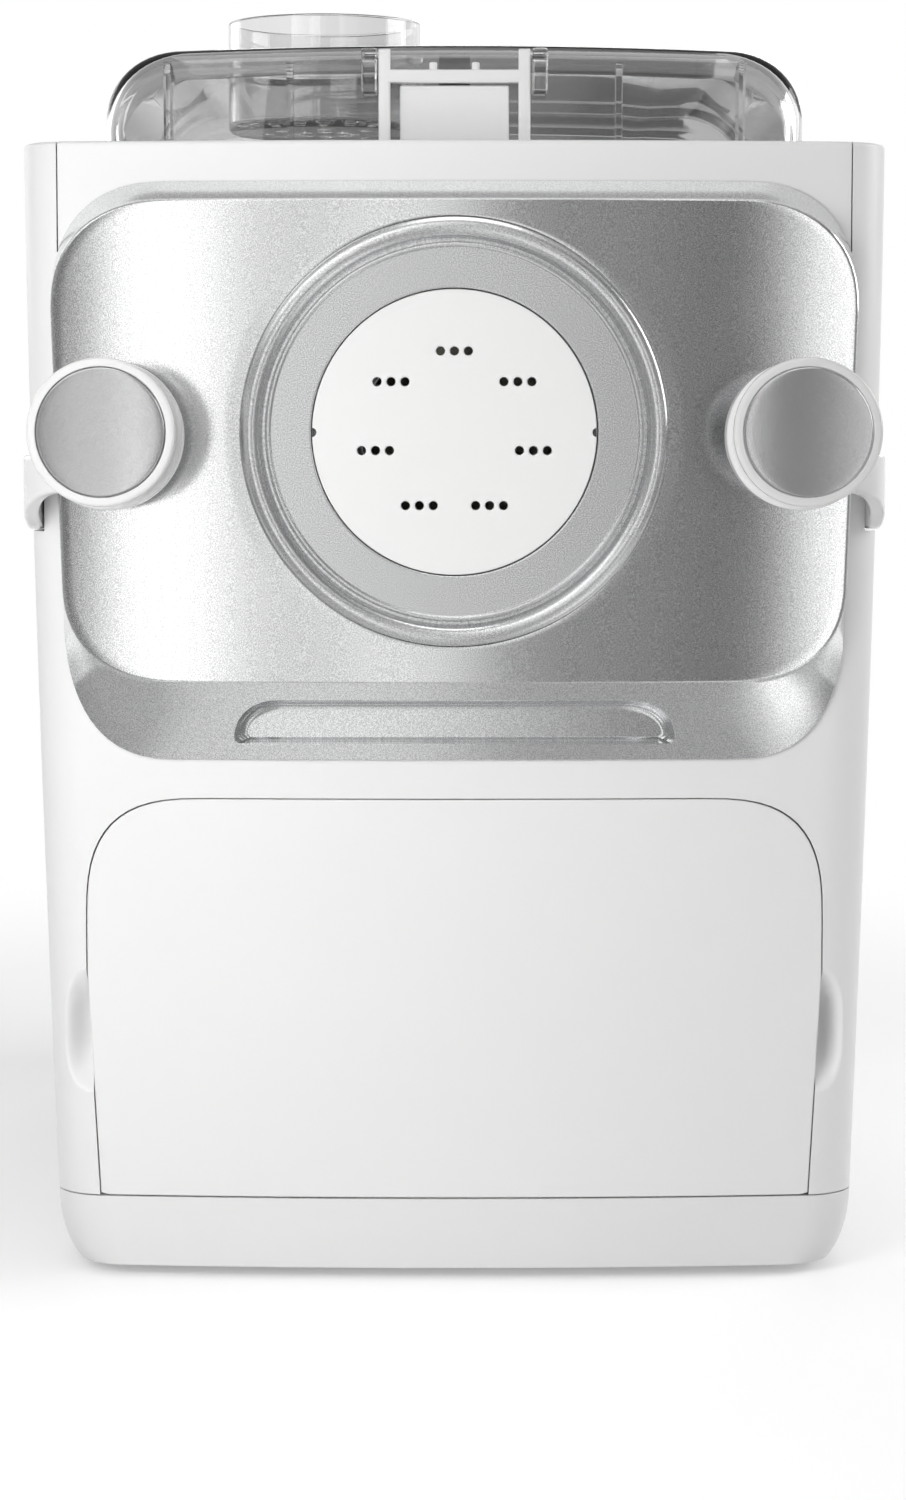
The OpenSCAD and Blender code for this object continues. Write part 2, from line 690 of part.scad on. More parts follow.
module mixing_chamber() color("whitesmoke") difference() {
    union() {
        rod_y(0, chamber_y0, chamber_y1, axis_z, chamber_x);
        block(-chamber_x, chamber_x, chamber_y0, chamber_y1, axis_z, deck_z - rest_gap);
        block(-chamber_x - flange_w, chamber_x + flange_w, chamber_y0 - flange_w, chamber_y1 + flange_w,
            deck_z - flange_t, deck_z - rest_gap);
    }
    rod_y(0, chamber_y0 + chamber_wall, chamber_y1 - chamber_wall, axis_z, chamber_r);
    block(-chamber_r, chamber_r, chamber_y0 + chamber_wall, chamber_y1 - chamber_wall, axis_z, deck_z + 1);
    block(-chamber_x, chamber_x, chamber_y0 - past, chamber_y1 + past, deck_z - rest_gap, deck_z + past);
    rod_y(0, chamber_y0 - 1, chamber_y0 + past, axis_z, tube_r);
    rod_y(0, chamber_y1 - past / 2, chamber_y1 + past, axis_z, seal_r + rest_gap);
}

module shaft_seal() color("dimgray") difference() {
    union() {
        rod_y(0, chamber_y1 - chamber_wall - 1, chamber_y1 + 2, axis_z, seal_r);
        rod_y(0, chamber_y1 + rest_gap, chamber_y1 + 2, axis_z, seal_r + 2.5);
    }
    rod_y(0, chamber_y1 - past, chamber_y1 + past, axis_z, shaft_r + fit);
}

module drive_shaft() color("silver") rod_y(0, shaft_y0, shaft_y1, axis_z, shaft_r);

// ---------------------------------------------------------------- gearbox and motor

bearing_r = 11;
bearing_len = 5;
slow_z = axis_z - slow_module * (wheel_teeth + pinion_teeth) / 2;
fast_z = slow_z - fast_module * (wheel_teeth + pinion_teeth) / 2;
slow_y0 = gearbox_y0 + plate_t + 3;
slow_y1 = slow_y0 + 12;
fast_y0 = slow_y1 + 4;
fast_y1 = fast_y0 + 8;
lay_r = 4;
lay_bore = lay_r + fit;
motor_shaft_r = 4;
backlash = 0.25;
pressure = 20;

function involute(a) = tan(a) * 180 / PI - a;

// Half angle that a tooth covers at radius r, for n teeth of module m.
function tooth_half(n, m, r) =
    let (rp = n * m / 2, rb = rp * cos(pressure), a = r > rb ? acos(rb / r) : 0)
    90 / n - backlash / (4 * rp) * 180 / PI + involute(pressure) - involute(a);

// Outline of a spur gear, with the middle of a tooth, or of a gap, at angle a0.
function gear_outline(n, m, a0, gap) =
    let (rp = n * m / 2, rb = rp * cos(pressure), root = rp - 1.25 * m, tip = rp + m)
    let (radii = [root, max(rb, root + 0.1), rp, tip], start = a0 + (gap ? 180 / n : 0))
    [for (i = [0 : n - 1]) let (c = start + 360 * i / n) each concat(
        [for (r = radii) let (a = c - tooth_half(n, m, r)) r * [cos(a), sin(a)]],
        [for (k = [3 : -1 : 0]) let (r = radii[k], a = c + tooth_half(n, m, r)) r * [cos(a), sin(a)]])];

module shaft_bearings() color("goldenrod") for (y = [gearbox_y0 - 1, gearbox_y1 - 1]) difference() {
    rod_y(0, y, y + bearing_len, axis_z, bearing_r);
    rod_y(0, y - 1, y + bearing_len + 1, axis_z, shaft_r + fit);
}

module output_gear() color("ivory") difference() {
    union() {
        translate([0, 0, axis_z]) along_y(slow_y0, slow_y1)
            polygon(gear_outline(wheel_teeth, slow_module, -90, false));
        rod_y(0, slow_y0, slow_y1 + 4, axis_z, 12);
    }
    rod_y(0, slow_y0 - 1, slow_y1 + past, axis_z, shaft_r + fit);
}

module layshaft() color("silver") rod_y(0, gearbox_y0, gearbox_y1 + plate_t - 0.2, slow_z, lay_r);

module lay_gear() color("ivory") difference() {
    translate([0, 0, slow_z]) union() {
        along_y(slow_y0, fast_y0 + 0.5) polygon(gear_outline(pinion_teeth, slow_module, 90, true));
        along_y(fast_y0, fast_y1) polygon(gear_outline(wheel_teeth, fast_module, -90, false));
    }
    rod_y(0, slow_y0 - 1, fast_y1 + 1, slow_z, lay_bore);
}

plate_x = 50;
plate_z1 = axis_z + 52;
spacer_places = [[-42, fast_z - 60], [42, fast_z - 60], [-42, axis_z + 44], [42, axis_z + 44]];

// One of the two plates that carry the gears, standing on the base pan.
module gear_plate(y) {
    difference() {
        union() {
            block(-plate_x, plate_x, y, y + plate_t, floor_z + rest_gap, plate_z1);
            block(-plate_x, plate_x, y, y + 10, floor_z + rest_gap, floor_z + 3);
        }
        rod_y(0, y - 1, y + plate_t + 1, axis_z, bearing_r + fit);
        rod_y(0, y - 1, y + plate_t + 1, slow_z, lay_r + fit);
        for (p = spacer_places) rod_y(p[0], y - 1, y + plate_t + 1, p[1], screw_r + fit);
        children();
    }
}

module gearbox_front_plate() color("lightsteelblue") gear_plate(gearbox_y0);

module gearbox_rear_plate() color("lightsteelblue") gear_plate(gearbox_y1)
    rod_y(0, gearbox_y1 - 1, gearbox_y1 + plate_t + 1, fast_z, motor_shaft_r + 6);

module gearbox_spacers() color("silver") for (p = spacer_places) union() {
    rod_y(p[0], gearbox_y0 + plate_t + rest_gap, gearbox_y1 - rest_gap, p[1], 4);
    rod_y(p[0], gearbox_y0 - 2, gearbox_y1 + plate_t + 2, p[1], screw_r);
    for (y = [gearbox_y0 - 4, gearbox_y1 + plate_t + rest_gap]) rod_y(p[0], y, y + 3.9, p[1], 3.4);
}

module motor_can() color("gray") difference() {
    union() {
        rod_y(0, motor_y0 + rest_gap, motor_y0 + motor_len, fast_z, motor_r);
        rod_y(0, motor_y0 - plate_t, motor_y0 + 1, fast_z, motor_shaft_r + 5.8);
    }
    rod_y(0, motor_y0 - past, motor_y0 + motor_len + past, fast_z, motor_shaft_r + fit);
    for (a = [0 : 30 : 330]) rotate_about(fast_z, a)
        rod_y(motor_r - 8, motor_y0 + motor_len - 5, motor_y0 + motor_len + 1, fast_z, 2.5);
}

// Turns what it holds about the line along Y at height z.
module rotate_about(z, a) {
    translate([0, 0, z]) rotate([0, a, 0]) translate([0, 0, -z]) children();
}

fan_gap = 2;
fan_y0 = motor_y0 + motor_len + fan_gap;
fan_t = 9;

module motor_shaft() color("silver") rod_y(0, fast_y0 - 3, fan_y0 + fan_t, fast_z, motor_shaft_r);

module motor_pinion() color("goldenrod") difference() {
    translate([0, 0, fast_z]) along_y(fast_y0 - 1, fast_y1 + 1)
        polygon(gear_outline(pinion_teeth, fast_module, 90, true));
    rod_y(0, fast_y0 - 2, fast_y1 + 2, fast_z, motor_shaft_r + 0.02);
}

module motor_fan() color("dimgray") difference() {
    union() {
        rod_y(0, fan_y0, fan_y0 + fan_t, fast_z, 9);
        for (a = [0 : 45 : 315]) rotate_about(fast_z, a) translate([8, fan_y0 + fan_t / 2, fast_z])
            rotate([25, 0, 0]) translate([0, -0.8, -4.5]) cube([motor_r - 14, 1.6, 9]);
    }
    rod_y(0, fan_y0 - 1, fan_y0 + fan_t + 1, fast_z, motor_shaft_r + 0.02);
}

// ---------------------------------------------------------------- lid and latch

lid_z0 = deck_z + loose;
lid_rx = 22;
lid_rz = 20;
lid_crown = 1.5;
lid_z1 = deck_z + lid_h - lid_crown;

// Cross section of the lid moved inward by e, from height z0.
function lid_section(e, z0) =
    let (x = lid_x - e, z = lid_z1 - e, k = x - lid_rx)
    concat([[-x, z0], [x, z0]], corner([k, z - lid_rz], lid_rx, lid_rz, 0, 2.15, 6),
        [for (i = [1 : 3]) [k * (1 - i / 2), z + lid_crown * (1 - pow(1 - i / 2, 2))]],
        corner([-k, z - lid_rz], lid_rx, lid_rz, 90, 2.15, 6));

// The lid's form, moved inward by t, with its front and back edges rounded.
module lid_form(t, z0) {
    r = lid_edge - t;
    ends = [for (a = [0 : 30 : 90]) [r * (1 - sin(a)), r * (1 - cos(a))]];
    loft(concat(
        [for (i = [0 : 3]) at_y(lid_section(t + ends[3 - i][1], z0), lid_y1 - t - ends[3 - i][0])],
        [for (i = [0 : 3]) at_y(lid_section(t + ends[i][1], z0), lid_y0 + t + ends[i][0])]));
}

inlet_y = lid_y0 + inlet_set;
inlet_rim = deck_z + inlet_top;
inlet_bottom = deck_z + 9.8;
ear_x0 = latch_x1 + 0.4;
ear_x1 = 25.5;
latch_pin_r = 0.9;
latch_barrel = 1.9;
rib_x = 45.5;
skirt_x = 79.4;

module lid() color("gainsboro", 0.5) difference() {
    union() {
        difference() {
            lid_form(0, lid_z0);
            lid_form(lid_wall, lid_z0 - past);
        }
        both_sides() {
            block(rib_x - 0.9, rib_x + 0.9, lid_y0 + 1, lid_y0 + 9, lid_z0, lid_z1 - 4);
            block(skirt_x - 0.9, skirt_x + 0.9, lid_y0 + 1, lid_y0 + 14, lid_z0, lid_z1 - 4);
            block(ear_x0, ear_x1, latch_y - 2.4, lid_y0 + 1, latch_z - 10, latch_z + 2);
            rod_x(knuckle_x0, knuckle_x1, hinge_y, hinge_z, hinge_r);
            block(knuckle_x0, knuckle_x1, lid_y1 - 1.5, hinge_y, hinge_z - 3.3, hinge_z + hinge_r);
        }
    }
    rod_z(inlet_x, inlet_y, lid_z1 - 10, lid_z1 + past, inlet_r + loose);
    both_sides() rod_x(ear_x0 - 1, ear_x1 - 1, latch_y, latch_z, latch_pin_r + fit);
    both_sides() rod_x(knuckle_x0 - 1, knuckle_x1 + 1, hinge_y, hinge_z, hinge_pin_r + fit);
}

inlet_wall = 1.8;
inlet_flange_z = lid_z1 + lid_crown + rest_gap;

module liquid_inlet() color("gainsboro", 0.5) difference() {
    union() {
        rod_z(inlet_x, inlet_y, inlet_bottom, inlet_rim, inlet_r);
        rod_z(inlet_x, inlet_y, inlet_flange_z, inlet_flange_z + 1.2, inlet_r + 3);
    }
    rod_z(inlet_x, inlet_y, inlet_bottom + 2, inlet_rim + 1, inlet_r - inlet_wall);
    for (r = [8, 17], a = [0 : 45 : 315])
        rod_z(inlet_x + r * cos(a), inlet_y + r * sin(a), inlet_bottom - 1, inlet_bottom + 3, 2);
}

module lid_hinge_pins() color("silver") both_sides()
    rod_x(knuckle_x0 - 0.4 - lug_t, knuckle_x1 + 0.4 + lug_t, hinge_y, hinge_z, hinge_pin_r);

module lid_seal() color("whitesmoke") {
    x = lid_x - lid_wall - loose;
    y0 = lid_y0 + lid_wall + loose;
    y1 = lid_y1 - lid_wall - loose;
    difference() {
        translate([0, 0, deck_z + rest_gap]) linear_extrude(2.6) polygon(round_rect(-x, y0, x, y1, 9));
        translate([0, 0, deck_z - 1]) linear_extrude(past)
            polygon(round_rect(2 - x, y0 + 2, x - 2, y1 - 2, 7));
        both_sides() block(skirt_x - 1.2, skirt_x + 1.2, y0 - 1, y0 + 14, deck_z - 1, deck_z + past);
        both_sides() block(rib_x - 1.2, rib_x + 1.2, y0 - 1, y0 + 14, deck_z - 1, deck_z + past);
    }
}

module lid_latch() color("white") difference() {
    union() {
        both_sides() {
            block(latch_x0, latch_x1, latch_y - 2, latch_y + 2, deck_z + 1.3, latch_z);
            rod_x(latch_x0, latch_x1, latch_y, latch_z, latch_barrel);
            rod_z(5.8, latch_y, deck_z + 20, deck_z + 23.3, 1.1);
        }
        block(-latch_x0 - 1, latch_x0 + 1, latch_y - 2, latch_y + 1.6, deck_z + 17.7, deck_z + 21.2);
    }
    both_sides() rod_x(latch_x0 - 1, latch_x1 + 1, latch_y, latch_z, latch_pin_r + fit);
}

module latch_pins() color("silver") both_sides()
    rod_x(latch_x0 + 0.5, ear_x1 - 1.2, latch_y, latch_z, latch_pin_r);

module interlock_tab() color("dimgray")
    block(-4.3, 4.3, lid_y0 + lid_edge + 1, lid_y0 + lid_edge + 6, lid_z1 - 9,
        lid_z1 + lid_crown - lid_wall - rest_gap);

// ---------------------------------------------------------------- drawer

tray_inset = 28.7; // distance of the tray from the side of the body
tray_x = body_w / 2 - tray_inset;
tray_z0 = seam_z + 3.7;
tray_z1 = chassis_z - 9;
runner_x = tray_x + 4;

module drawer_front() color("white") intersection() {
    along_y(y_front - 5, front_back) polygon(drawer_outline(0));
    front_curve(0);
}

module drawer_tray() color("whitesmoke") difference() {
    block(-tray_x, tray_x, tray_y0, tray_y1, tray_z0, tray_z1);
    block(tray_wall - tray_x, tray_x - tray_wall, tray_y0 + tray_wall, tray_y1 - tray_wall,
        tray_z0 + tray_wall, tray_z1 + past);
}

module drawer_runners() color("lightgray") both_sides() union() {
    block(runner_x, runner_x + 2.5, y_front + 22, tray_y1 + 15, floor_z + rest_gap, chassis_z - rest_gap);
    block(tray_x - 4, runner_x + 1, y_front + 22, tray_y1 + 15, tray_z0 - loose - 2, tray_z0 - loose);
}

// ---------------------------------------------------------------- clamp arms and knobs

arm_gap = screw_travel + 1.5; // from the panel's face to the inner face of an arm
arm_y1 = y_face - arm_gap;
arm_y0 = arm_y1 - arm_t;
bend_r = 18;
bend_x = arm_in - bend_r;
bend_y = arm_y1 + bend_r;
arm_boss_r = knob_r + 0.5;
arm_boss_y = arm_y0 - 6.5;
arm_boss_drop = 0.8;
arm_dip = 10.5; // how far an arm drops from its front leg to its side leg
dip_len = 29; // depth over which it drops
bend_steps = 12;

function arc(c, r, a0, a1, steps) =
    [for (i = [0 : steps]) let (a = a0 + (a1 - a0) * i / steps) c + r * [cos(a), sin(a)]];

// The strap seen from above, from the boss round the bend to the round end about the pin.
function strap_plan() =
    let (inner_a = acos((arm_in - pin_x) / barrel_r))
    concat(
        [[knob_x, arm_y0]],
        arc([bend_x, bend_y], bend_r + arm_t, -90, 0, bend_steps),
        arc([pin_x, pin_y], barrel_r, 0, 360 - inner_a, 2 * bend_steps),
        arc([bend_x, bend_y], bend_r, 0, -90, bend_steps),
        [[knob_x, arm_y1]]);

// The strap seen from the side, in Y and Z.
function strap_side() = concat(
    [[arm_y0 - 1, arm_z + arm_dip]],
    [for (i = [0 : bend_steps]) let (u = i / bend_steps)
        [arm_y0 + 2 + dip_len * u, arm_z + arm_dip * (1 + cos(180 * u)) / 2]],
    [[pin_y + 2 * barrel_r, arm_z], [pin_y + 2 * barrel_r, arm_z + arm_h], [arm_y0 - 1, arm_z + arm_h]]);

module arm() {
    difference() {
        union() {
            intersection() {
                translate([0, 0, arm_z - 1]) linear_extrude(arm_h + 2) polygon(strap_plan());
                rotate([90, 0, 90]) linear_extrude(body_w) polygon(strap_side());
            }
            rod_y(knob_x, arm_boss_y, arm_y1, axis_z - arm_boss_drop, arm_boss_r);
        }
        rod_y(knob_x, arm_boss_y - 1, arm_y1 + 1, axis_z, spindle_r + fit);
        rod_z(pin_x, pin_y, arm_z - 1, arm_z + arm_h + 1, pin_r + fit);
    }
}

module arm_right() color("white") arm();
module arm_left() color("white") mirror([1, 0, 0]) arm();

module arm_pins() color("silver") both_sides()
    rod_z(pin_x, pin_y, arm_z - lug_len + 0.2, arm_z + arm_h + lug_len - 0.2, pin_r);

pad_back = pad_y - loose;
pad_t = 4;
tip_r = 2;

module clamp_pad() difference() {
    rod_y(knob_x, pad_back - pad_t, pad_back, axis_z, pad_r);
    rod_y(knob_x, pad_back - pad_t - 1, pad_back - 1.2, axis_z, tip_r + fit);
}

module clamp_pad_right() color("dimgray") clamp_pad();
module clamp_pad_left() color("dimgray") mirror([1, 0, 0]) clamp_pad();

knob_y0 = y_cap + 0.3;
knob_y1 = knob_y0 + knob_len;

module spindle() union() {
    rod_y(knob_x, knob_y0 + 4, pad_back - pad_t - rest_gap, axis_z, spindle_r);
    rod_y(knob_x, knob_y0 + 4, pad_back - 1.4, axis_z, tip_r);
}

module spindle_right() color("silver") spindle();
module spindle_left() color("silver") mirror([1, 0, 0]) spindle();

module knob() difference() {
    rod_y(knob_x, knob_y0, knob_y1, axis_z, knob_r);
    rod_y(knob_x, knob_y0 - 1, knob_y0 + 1.5, axis_z, cap_r + 0.15);
    rod_y(knob_x, knob_y0 + 3.9, knob_y1 + 1, axis_z, spindle_r + 0.02);
}

module knob_right() color("white") knob();
module knob_left() color("white") mirror([1, 0, 0]) knob();

module cap() rod_y(knob_x, y_cap, knob_y0 + 1.5 - rest_gap, axis_z, cap_r);

module cap_right() color("silver") cap();
module cap_left() color("silver") mirror([1, 0, 0]) cap();

// ---------------------------------------------------------------- controls

button_set = 18;
button_pitch = 42;
button_y = panel_y0 + button_set;
button_places = [-button_pitch, 0, button_pitch];
button_flange = 1;
window_x = 36;
window_set = 12;
window_d = 32;
window_y1 = panel_y1 - window_set;
window_y0 = window_y1 - window_d;
ctrl_z0 = ctrl_top - ctrl_t;
board_drop = 8.9;
board_z = ctrl_z0 - board_drop;
board_t = 1.6;
board_x = panel_x - 8;
post_x = panel_x - 12;
post_set = 9;
post_y = [panel_y0 + post_set, panel_y1 - post_set];
switch_w = 6;
display_x = window_x - 6;
socket_w = 14;

module control_panel() color("gainsboro") difference() {
    union() {
        block(loose - panel_x, panel_x - loose, panel_y0 + loose, panel_y1 - loose, ctrl_z0, ctrl_top);
        both_sides() for (y = post_y) rod_z(post_x, y, board_z + board_t + rest_gap, ctrl_z0 + 1, 3);
    }
    for (x = button_places) rod_z(x, button_y, ctrl_z0 - 1, ctrl_top + 1, button_r + loose);
    block(-window_x, window_x, window_y0, window_y1, ctrl_top - 1.4, ctrl_top + 1);
}

module display_window() color("black")
    block(0.15 - window_x, window_x - 0.15, window_y0 + 0.15, window_y1 - 0.15, ctrl_top - 1.3, ctrl_top);

module button(i) {
    x = button_places[i];
    top = ctrl_z0 - 0.35;
    union() {
        rod_z(x, button_y, top - button_flange, ctrl_top + 0.4, button_r);
        rod_z(x, button_y, top - button_flange, top, button_r + 1.2);
    }
}

module power_button() color("gray") button(0);
module program_button() color("gray") button(1);
module start_button() color("gray") button(2);

module control_board() color("darkgreen") union() {
    block(-board_x, board_x, panel_y0 + ctrl_ledge + 0.5, panel_y1 - ctrl_ledge - 0.5,
        board_z, board_z + board_t);
    for (x = button_places)
        block(x - switch_w / 2, x + switch_w / 2, button_y - switch_w / 2, button_y + switch_w / 2,
            board_z + 1, ctrl_z0 - 0.35 - button_flange - button_travel - loose);
    block(-display_x, display_x, window_y0 + 3, window_y1 - 3, board_z + 1, ctrl_z0 - 0.3);
    block(board_x - 6 - socket_w, board_x - 6, window_y0 + 2, window_y1 - 8, board_z - 6, board_z + 0.5);
}

power_y0 = motor_y0 + 8;
power_z = floor_z + 8;
power_x = 45;
power_d = 66;
power_post_set = 6;
power_post_x = power_x - 7;
transformer_w = 28;
transformer_h = 24;
relay_h = 12;
capacitor_r = 6;
capacitor_h = 22;

module power_board() color("darkgreen") union() {
    block(-power_x, power_x, power_y0, power_y0 + power_d, power_z, power_z + board_t);
    both_sides() for (y = [power_y0 + power_post_set, power_y0 + power_d - power_post_set])
        rod_z(power_post_x, y, floor_z + rest_gap, power_z + 1, 3.5);
    block(-transformer_w - 6, -6, power_y0 + 8, power_y0 + 8 + transformer_w,
        power_z + 1, power_z + transformer_h);
    block(2, 2 + transformer_w, power_y0 + 14, power_y0 + 30, power_z + 1, power_z + relay_h);
    for (i = [0 : 2])
        rod_z(16 * i - 24, power_y0 + power_d - 14, power_z + 1, power_z + capacitor_h, capacitor_r);
}

module cable_gland() color("dimgray") difference() {
    union() {
        rod_y(gland_x, y_back - 14, y_back + gland_reach, gland_z, gland_r + 4);
        rod_y(gland_x, y_back + rest_gap, y_back + gland_reach - 1.4, gland_z, gland_r + 6.5);
        rod_y(gland_x, y_back - 8, y_back - rear_t - rest_gap, gland_z, gland_r + 6.5);
    }
    rod_y(gland_x, y_back - past, y_back + past, gland_z, gland_r);
}

base_pan();
rubber_feet();
base_screws();
outer_shell();
rear_cover();
rear_cover_screws();
top_deck();
latch_post();
chassis_plate();
front_panel();
outlet_ring();
shaping_disc();
extrusion_tube();
tube_gasket();
auger();
mixing_paddle();
mixing_chamber();
shaft_seal();
drive_shaft();
shaft_bearings();
output_gear();
layshaft();
lay_gear();
gearbox_front_plate();
gearbox_rear_plate();
gearbox_spacers();
motor_can();
motor_shaft();
motor_pinion();
motor_fan();
lid();
liquid_inlet();
lid_hinge_pins();
lid_seal();
lid_latch();
latch_pins();
interlock_tab();
drawer_front();
drawer_tray();
drawer_runners();
arm_left();
arm_right();
arm_pins();
clamp_pad_left();
clamp_pad_right();
spindle_left();
spindle_right();
knob_left();
knob_right();
cap_left();
cap_right();
control_panel();
display_window();
power_button();
program_button();
start_button();
control_board();
power_board();
cable_gland();
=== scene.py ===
"""Countertop electric pasta maker in a white studio. Lengths are millimetres; MM turns them into metres."""
import math

import bmesh
import bpy
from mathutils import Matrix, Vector


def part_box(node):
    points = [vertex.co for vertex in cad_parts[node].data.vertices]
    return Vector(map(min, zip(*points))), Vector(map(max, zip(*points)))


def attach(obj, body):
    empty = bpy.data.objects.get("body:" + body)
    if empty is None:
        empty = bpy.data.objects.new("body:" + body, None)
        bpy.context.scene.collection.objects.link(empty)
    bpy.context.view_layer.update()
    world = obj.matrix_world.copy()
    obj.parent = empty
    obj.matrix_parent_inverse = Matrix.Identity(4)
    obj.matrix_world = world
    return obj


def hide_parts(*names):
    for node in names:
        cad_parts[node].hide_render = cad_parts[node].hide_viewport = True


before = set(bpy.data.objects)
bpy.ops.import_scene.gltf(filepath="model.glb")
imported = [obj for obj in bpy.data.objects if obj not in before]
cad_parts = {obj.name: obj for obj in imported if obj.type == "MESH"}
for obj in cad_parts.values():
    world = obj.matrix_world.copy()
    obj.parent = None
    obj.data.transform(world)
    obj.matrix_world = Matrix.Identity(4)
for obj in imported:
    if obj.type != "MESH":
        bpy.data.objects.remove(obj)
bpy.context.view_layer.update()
MM = 0.001

# ---------------- camera
# A tripod camera about a metre in front of the machine, a little below its top edge and tilted
# slightly down. The film size applies to the long side of the upright picture.
lens_mm = 84
film_mm = 36
eye = Vector((-0.4, -1103, 228.6))
tilt_down = math.radians(5.0616)

camera_data = bpy.data.cameras.new("camera")
camera_data.lens = lens_mm
camera_data.sensor_width = film_mm
camera = bpy.data.objects.new("camera", camera_data)
camera.location = eye * MM
camera.rotation_euler = (math.pi / 2 - tilt_down, 0, 0)
bpy.context.collection.objects.link(camera)
bpy.context.scene.camera = camera
bpy.context.scene.view_settings.view_transform = "Standard"


# ---------------- studio
# A white table and a white room, lit by soft boxes in front, above, behind and to both sides. A curved
# card with pale and grey bands stands round the camera, seen only as a reflection in the metal.
class Wire:
    """A socket in a node tree. Arithmetic on it adds Math nodes, and node() adds any other node."""

    def __init__(self, tree, socket=None):
        self.tree = tree
        self.socket = socket

    def node(self, kind, settings=None, values=None, out=0):
        made = self.tree.nodes.new("ShaderNode" + kind)
        for name, setting in (settings or {}).items():
            setattr(made, name, setting)
        for name, value in (values or {}).items():
            if isinstance(value, Wire):
                self.tree.links.new(value.socket, made.inputs[name])
            else:
                made.inputs[name].default_value = value
        return Wire(self.tree, made.outputs[out] if made.outputs else None)

    def math(self, operation, first, second=0.0):
        return self.node("Math", {"operation": operation}, {0: first, 1: second})

    def __add__(self, other):
        return self.math("ADD", self, other)

    def __sub__(self, other):
        return self.math("SUBTRACT", self, other)

    def __rsub__(self, other):
        return self.math("SUBTRACT", other, self)

    def __mul__(self, other):
        return self.math("MULTIPLY", self, other)

    def __truediv__(self, other):
        return self.math("DIVIDE", self, other)

    __radd__ = __add__
    __rmul__ = __mul__

    def above(self, low, high):
        """0 below low, 1 above high, and smooth in between."""
        return self.node("MapRange", {"interpolation_type": "SMOOTHSTEP"},
                         {"Value": self, "From Min": low, "From Max": high})

    def blend(self, low, high):
        """A colour between low and high, by this value."""
        return self.node("Mix", {"data_type": "RGBA"}, {0: self, 6: low, 7: high}, out=2)

    def bands(self, pairs, reach=1.0):
        """A grey by this value, which runs from -reach to reach, from pairs of a value and its grey."""
        made = self.node("ValToRGB", values={0: self / (2 * reach) + 0.5})
        elements = made.socket.node.color_ramp.elements
        while len(elements) < len(pairs):
            elements.new(0.5)
        for element, (value, grey) in zip(elements, pairs):
            element.position = 0.5 + value / (2 * reach)
            element.color = rgb(grey)
        return made

    def place(self):
        """Where a point lies on its piece, in metres."""
        return self.node("TexCoord", out="Object")

    def axis(self, letter):
        """One coordinate of this place or direction."""
        return self.node("SeparateXYZ", values={0: self}, out=letter)

    def noise(self, scale, detail):
        """Cloudy noise over this place."""
        return self.node("TexNoise", values={"Vector": self, "Scale": scale, "Detail": detail}, out="Fac")

    def ray(self, kind):
        """1 for the rays of a kind."""
        return self.node("LightPath", out="Is " + kind + " Ray")

    def glow(self, strength, colour=(1, 1, 1, 1)):
        """Light given off, white if no colour is given."""
        return self.node("Emission", values={"Color": colour, "Strength": strength})


def rgb(red, green=None, blue=None):
    """A colour with its alpha, from three numbers or from one grey."""
    return (red, red if green is None else green, red if blue is None else blue, 1)


def new_material(name):
    material = bpy.data.materials.new(name)
    material.use_nodes = True
    material.node_tree.nodes.clear()
    return material, Wire(material.node_tree)


room_light = 0.36
ceiling_shade, floor_shade, side_shade = 0.6, 0.5, 0.5
world = bpy.data.worlds.new("white_room")
world.use_nodes = True
world.node_tree.nodes.clear()
room = Wire(world.node_tree)
bearing = room.node("TexCoord", out="Generated")
across, away, height = [bearing.axis(letter) for letter in "XYZ"]
# The walls are white, and the ceiling, the floor and the sides are in shade. Only glints show that.
level_shade = ceiling_shade * height.above(0.28, 0.75) + floor_shade * (0 - height).above(0.28, 0.75)
shade = 1 - room.math("MAXIMUM", level_shade, side_shade * room.math("ABSOLUTE", across).above(0.75, 1.0))
# Grey flags stand far behind the machine, and only what is seen through its clear parts shows them.
flag_reach = 0.125
flag_bands = ((-0.125, 1.0), (-0.052, 1.0), (-0.047, 0.6), (-0.02, 0.55), (-0.016, 0.35), (0.032, 0.3),
              (0.036, 0.2), (0.079, 0.18), (0.088, 1.0))
behind = away.above(0.5, 0.9)
low_flags = behind * (1 - 0.75 * height.above(0.1, 0.108)) * (1 - across.bands(flag_bands, flag_reach))
top_flag = behind * height.above(0.13, 0.17) * (0.5 + 0.3 * across.above(-0.05, 0.05))
top_width = (1 - across.above(0.085, 0.1)) * (1 - 0.6 * (0 - across).above(0.05, 0.06))
shade = shade * (1 - low_flags) * (1 - top_flag * top_width)
seen = room.ray("Camera")
glint = room.math("MAXIMUM", room.ray("Glossy"), room.ray("Transmission"))
soft = room_light * (0.7 + 0.7 * (0 - away).above(0.2, 0.95))
strength = seen + (1 - seen) * (glint * shade + (1 - glint) * soft)
room.node("OutputWorld", values={"Surface": room.node("Background", values={
    "Color": rgb(1), "Strength": strength})})
bpy.context.scene.world = world


def oblong(x0, x1, y0, y1):
    """The corners of a rectangle."""
    return [(x0, y0), (x1, y0), (x1, y1), (x0, y1)]


def mesh_object(name, points, faces):
    """A mesh object of points in metres."""
    mesh = bpy.data.meshes.new(name)
    mesh.from_pydata(points, [], faces)
    made = bpy.data.objects.new(name, mesh)
    bpy.context.collection.objects.link(made)
    return made


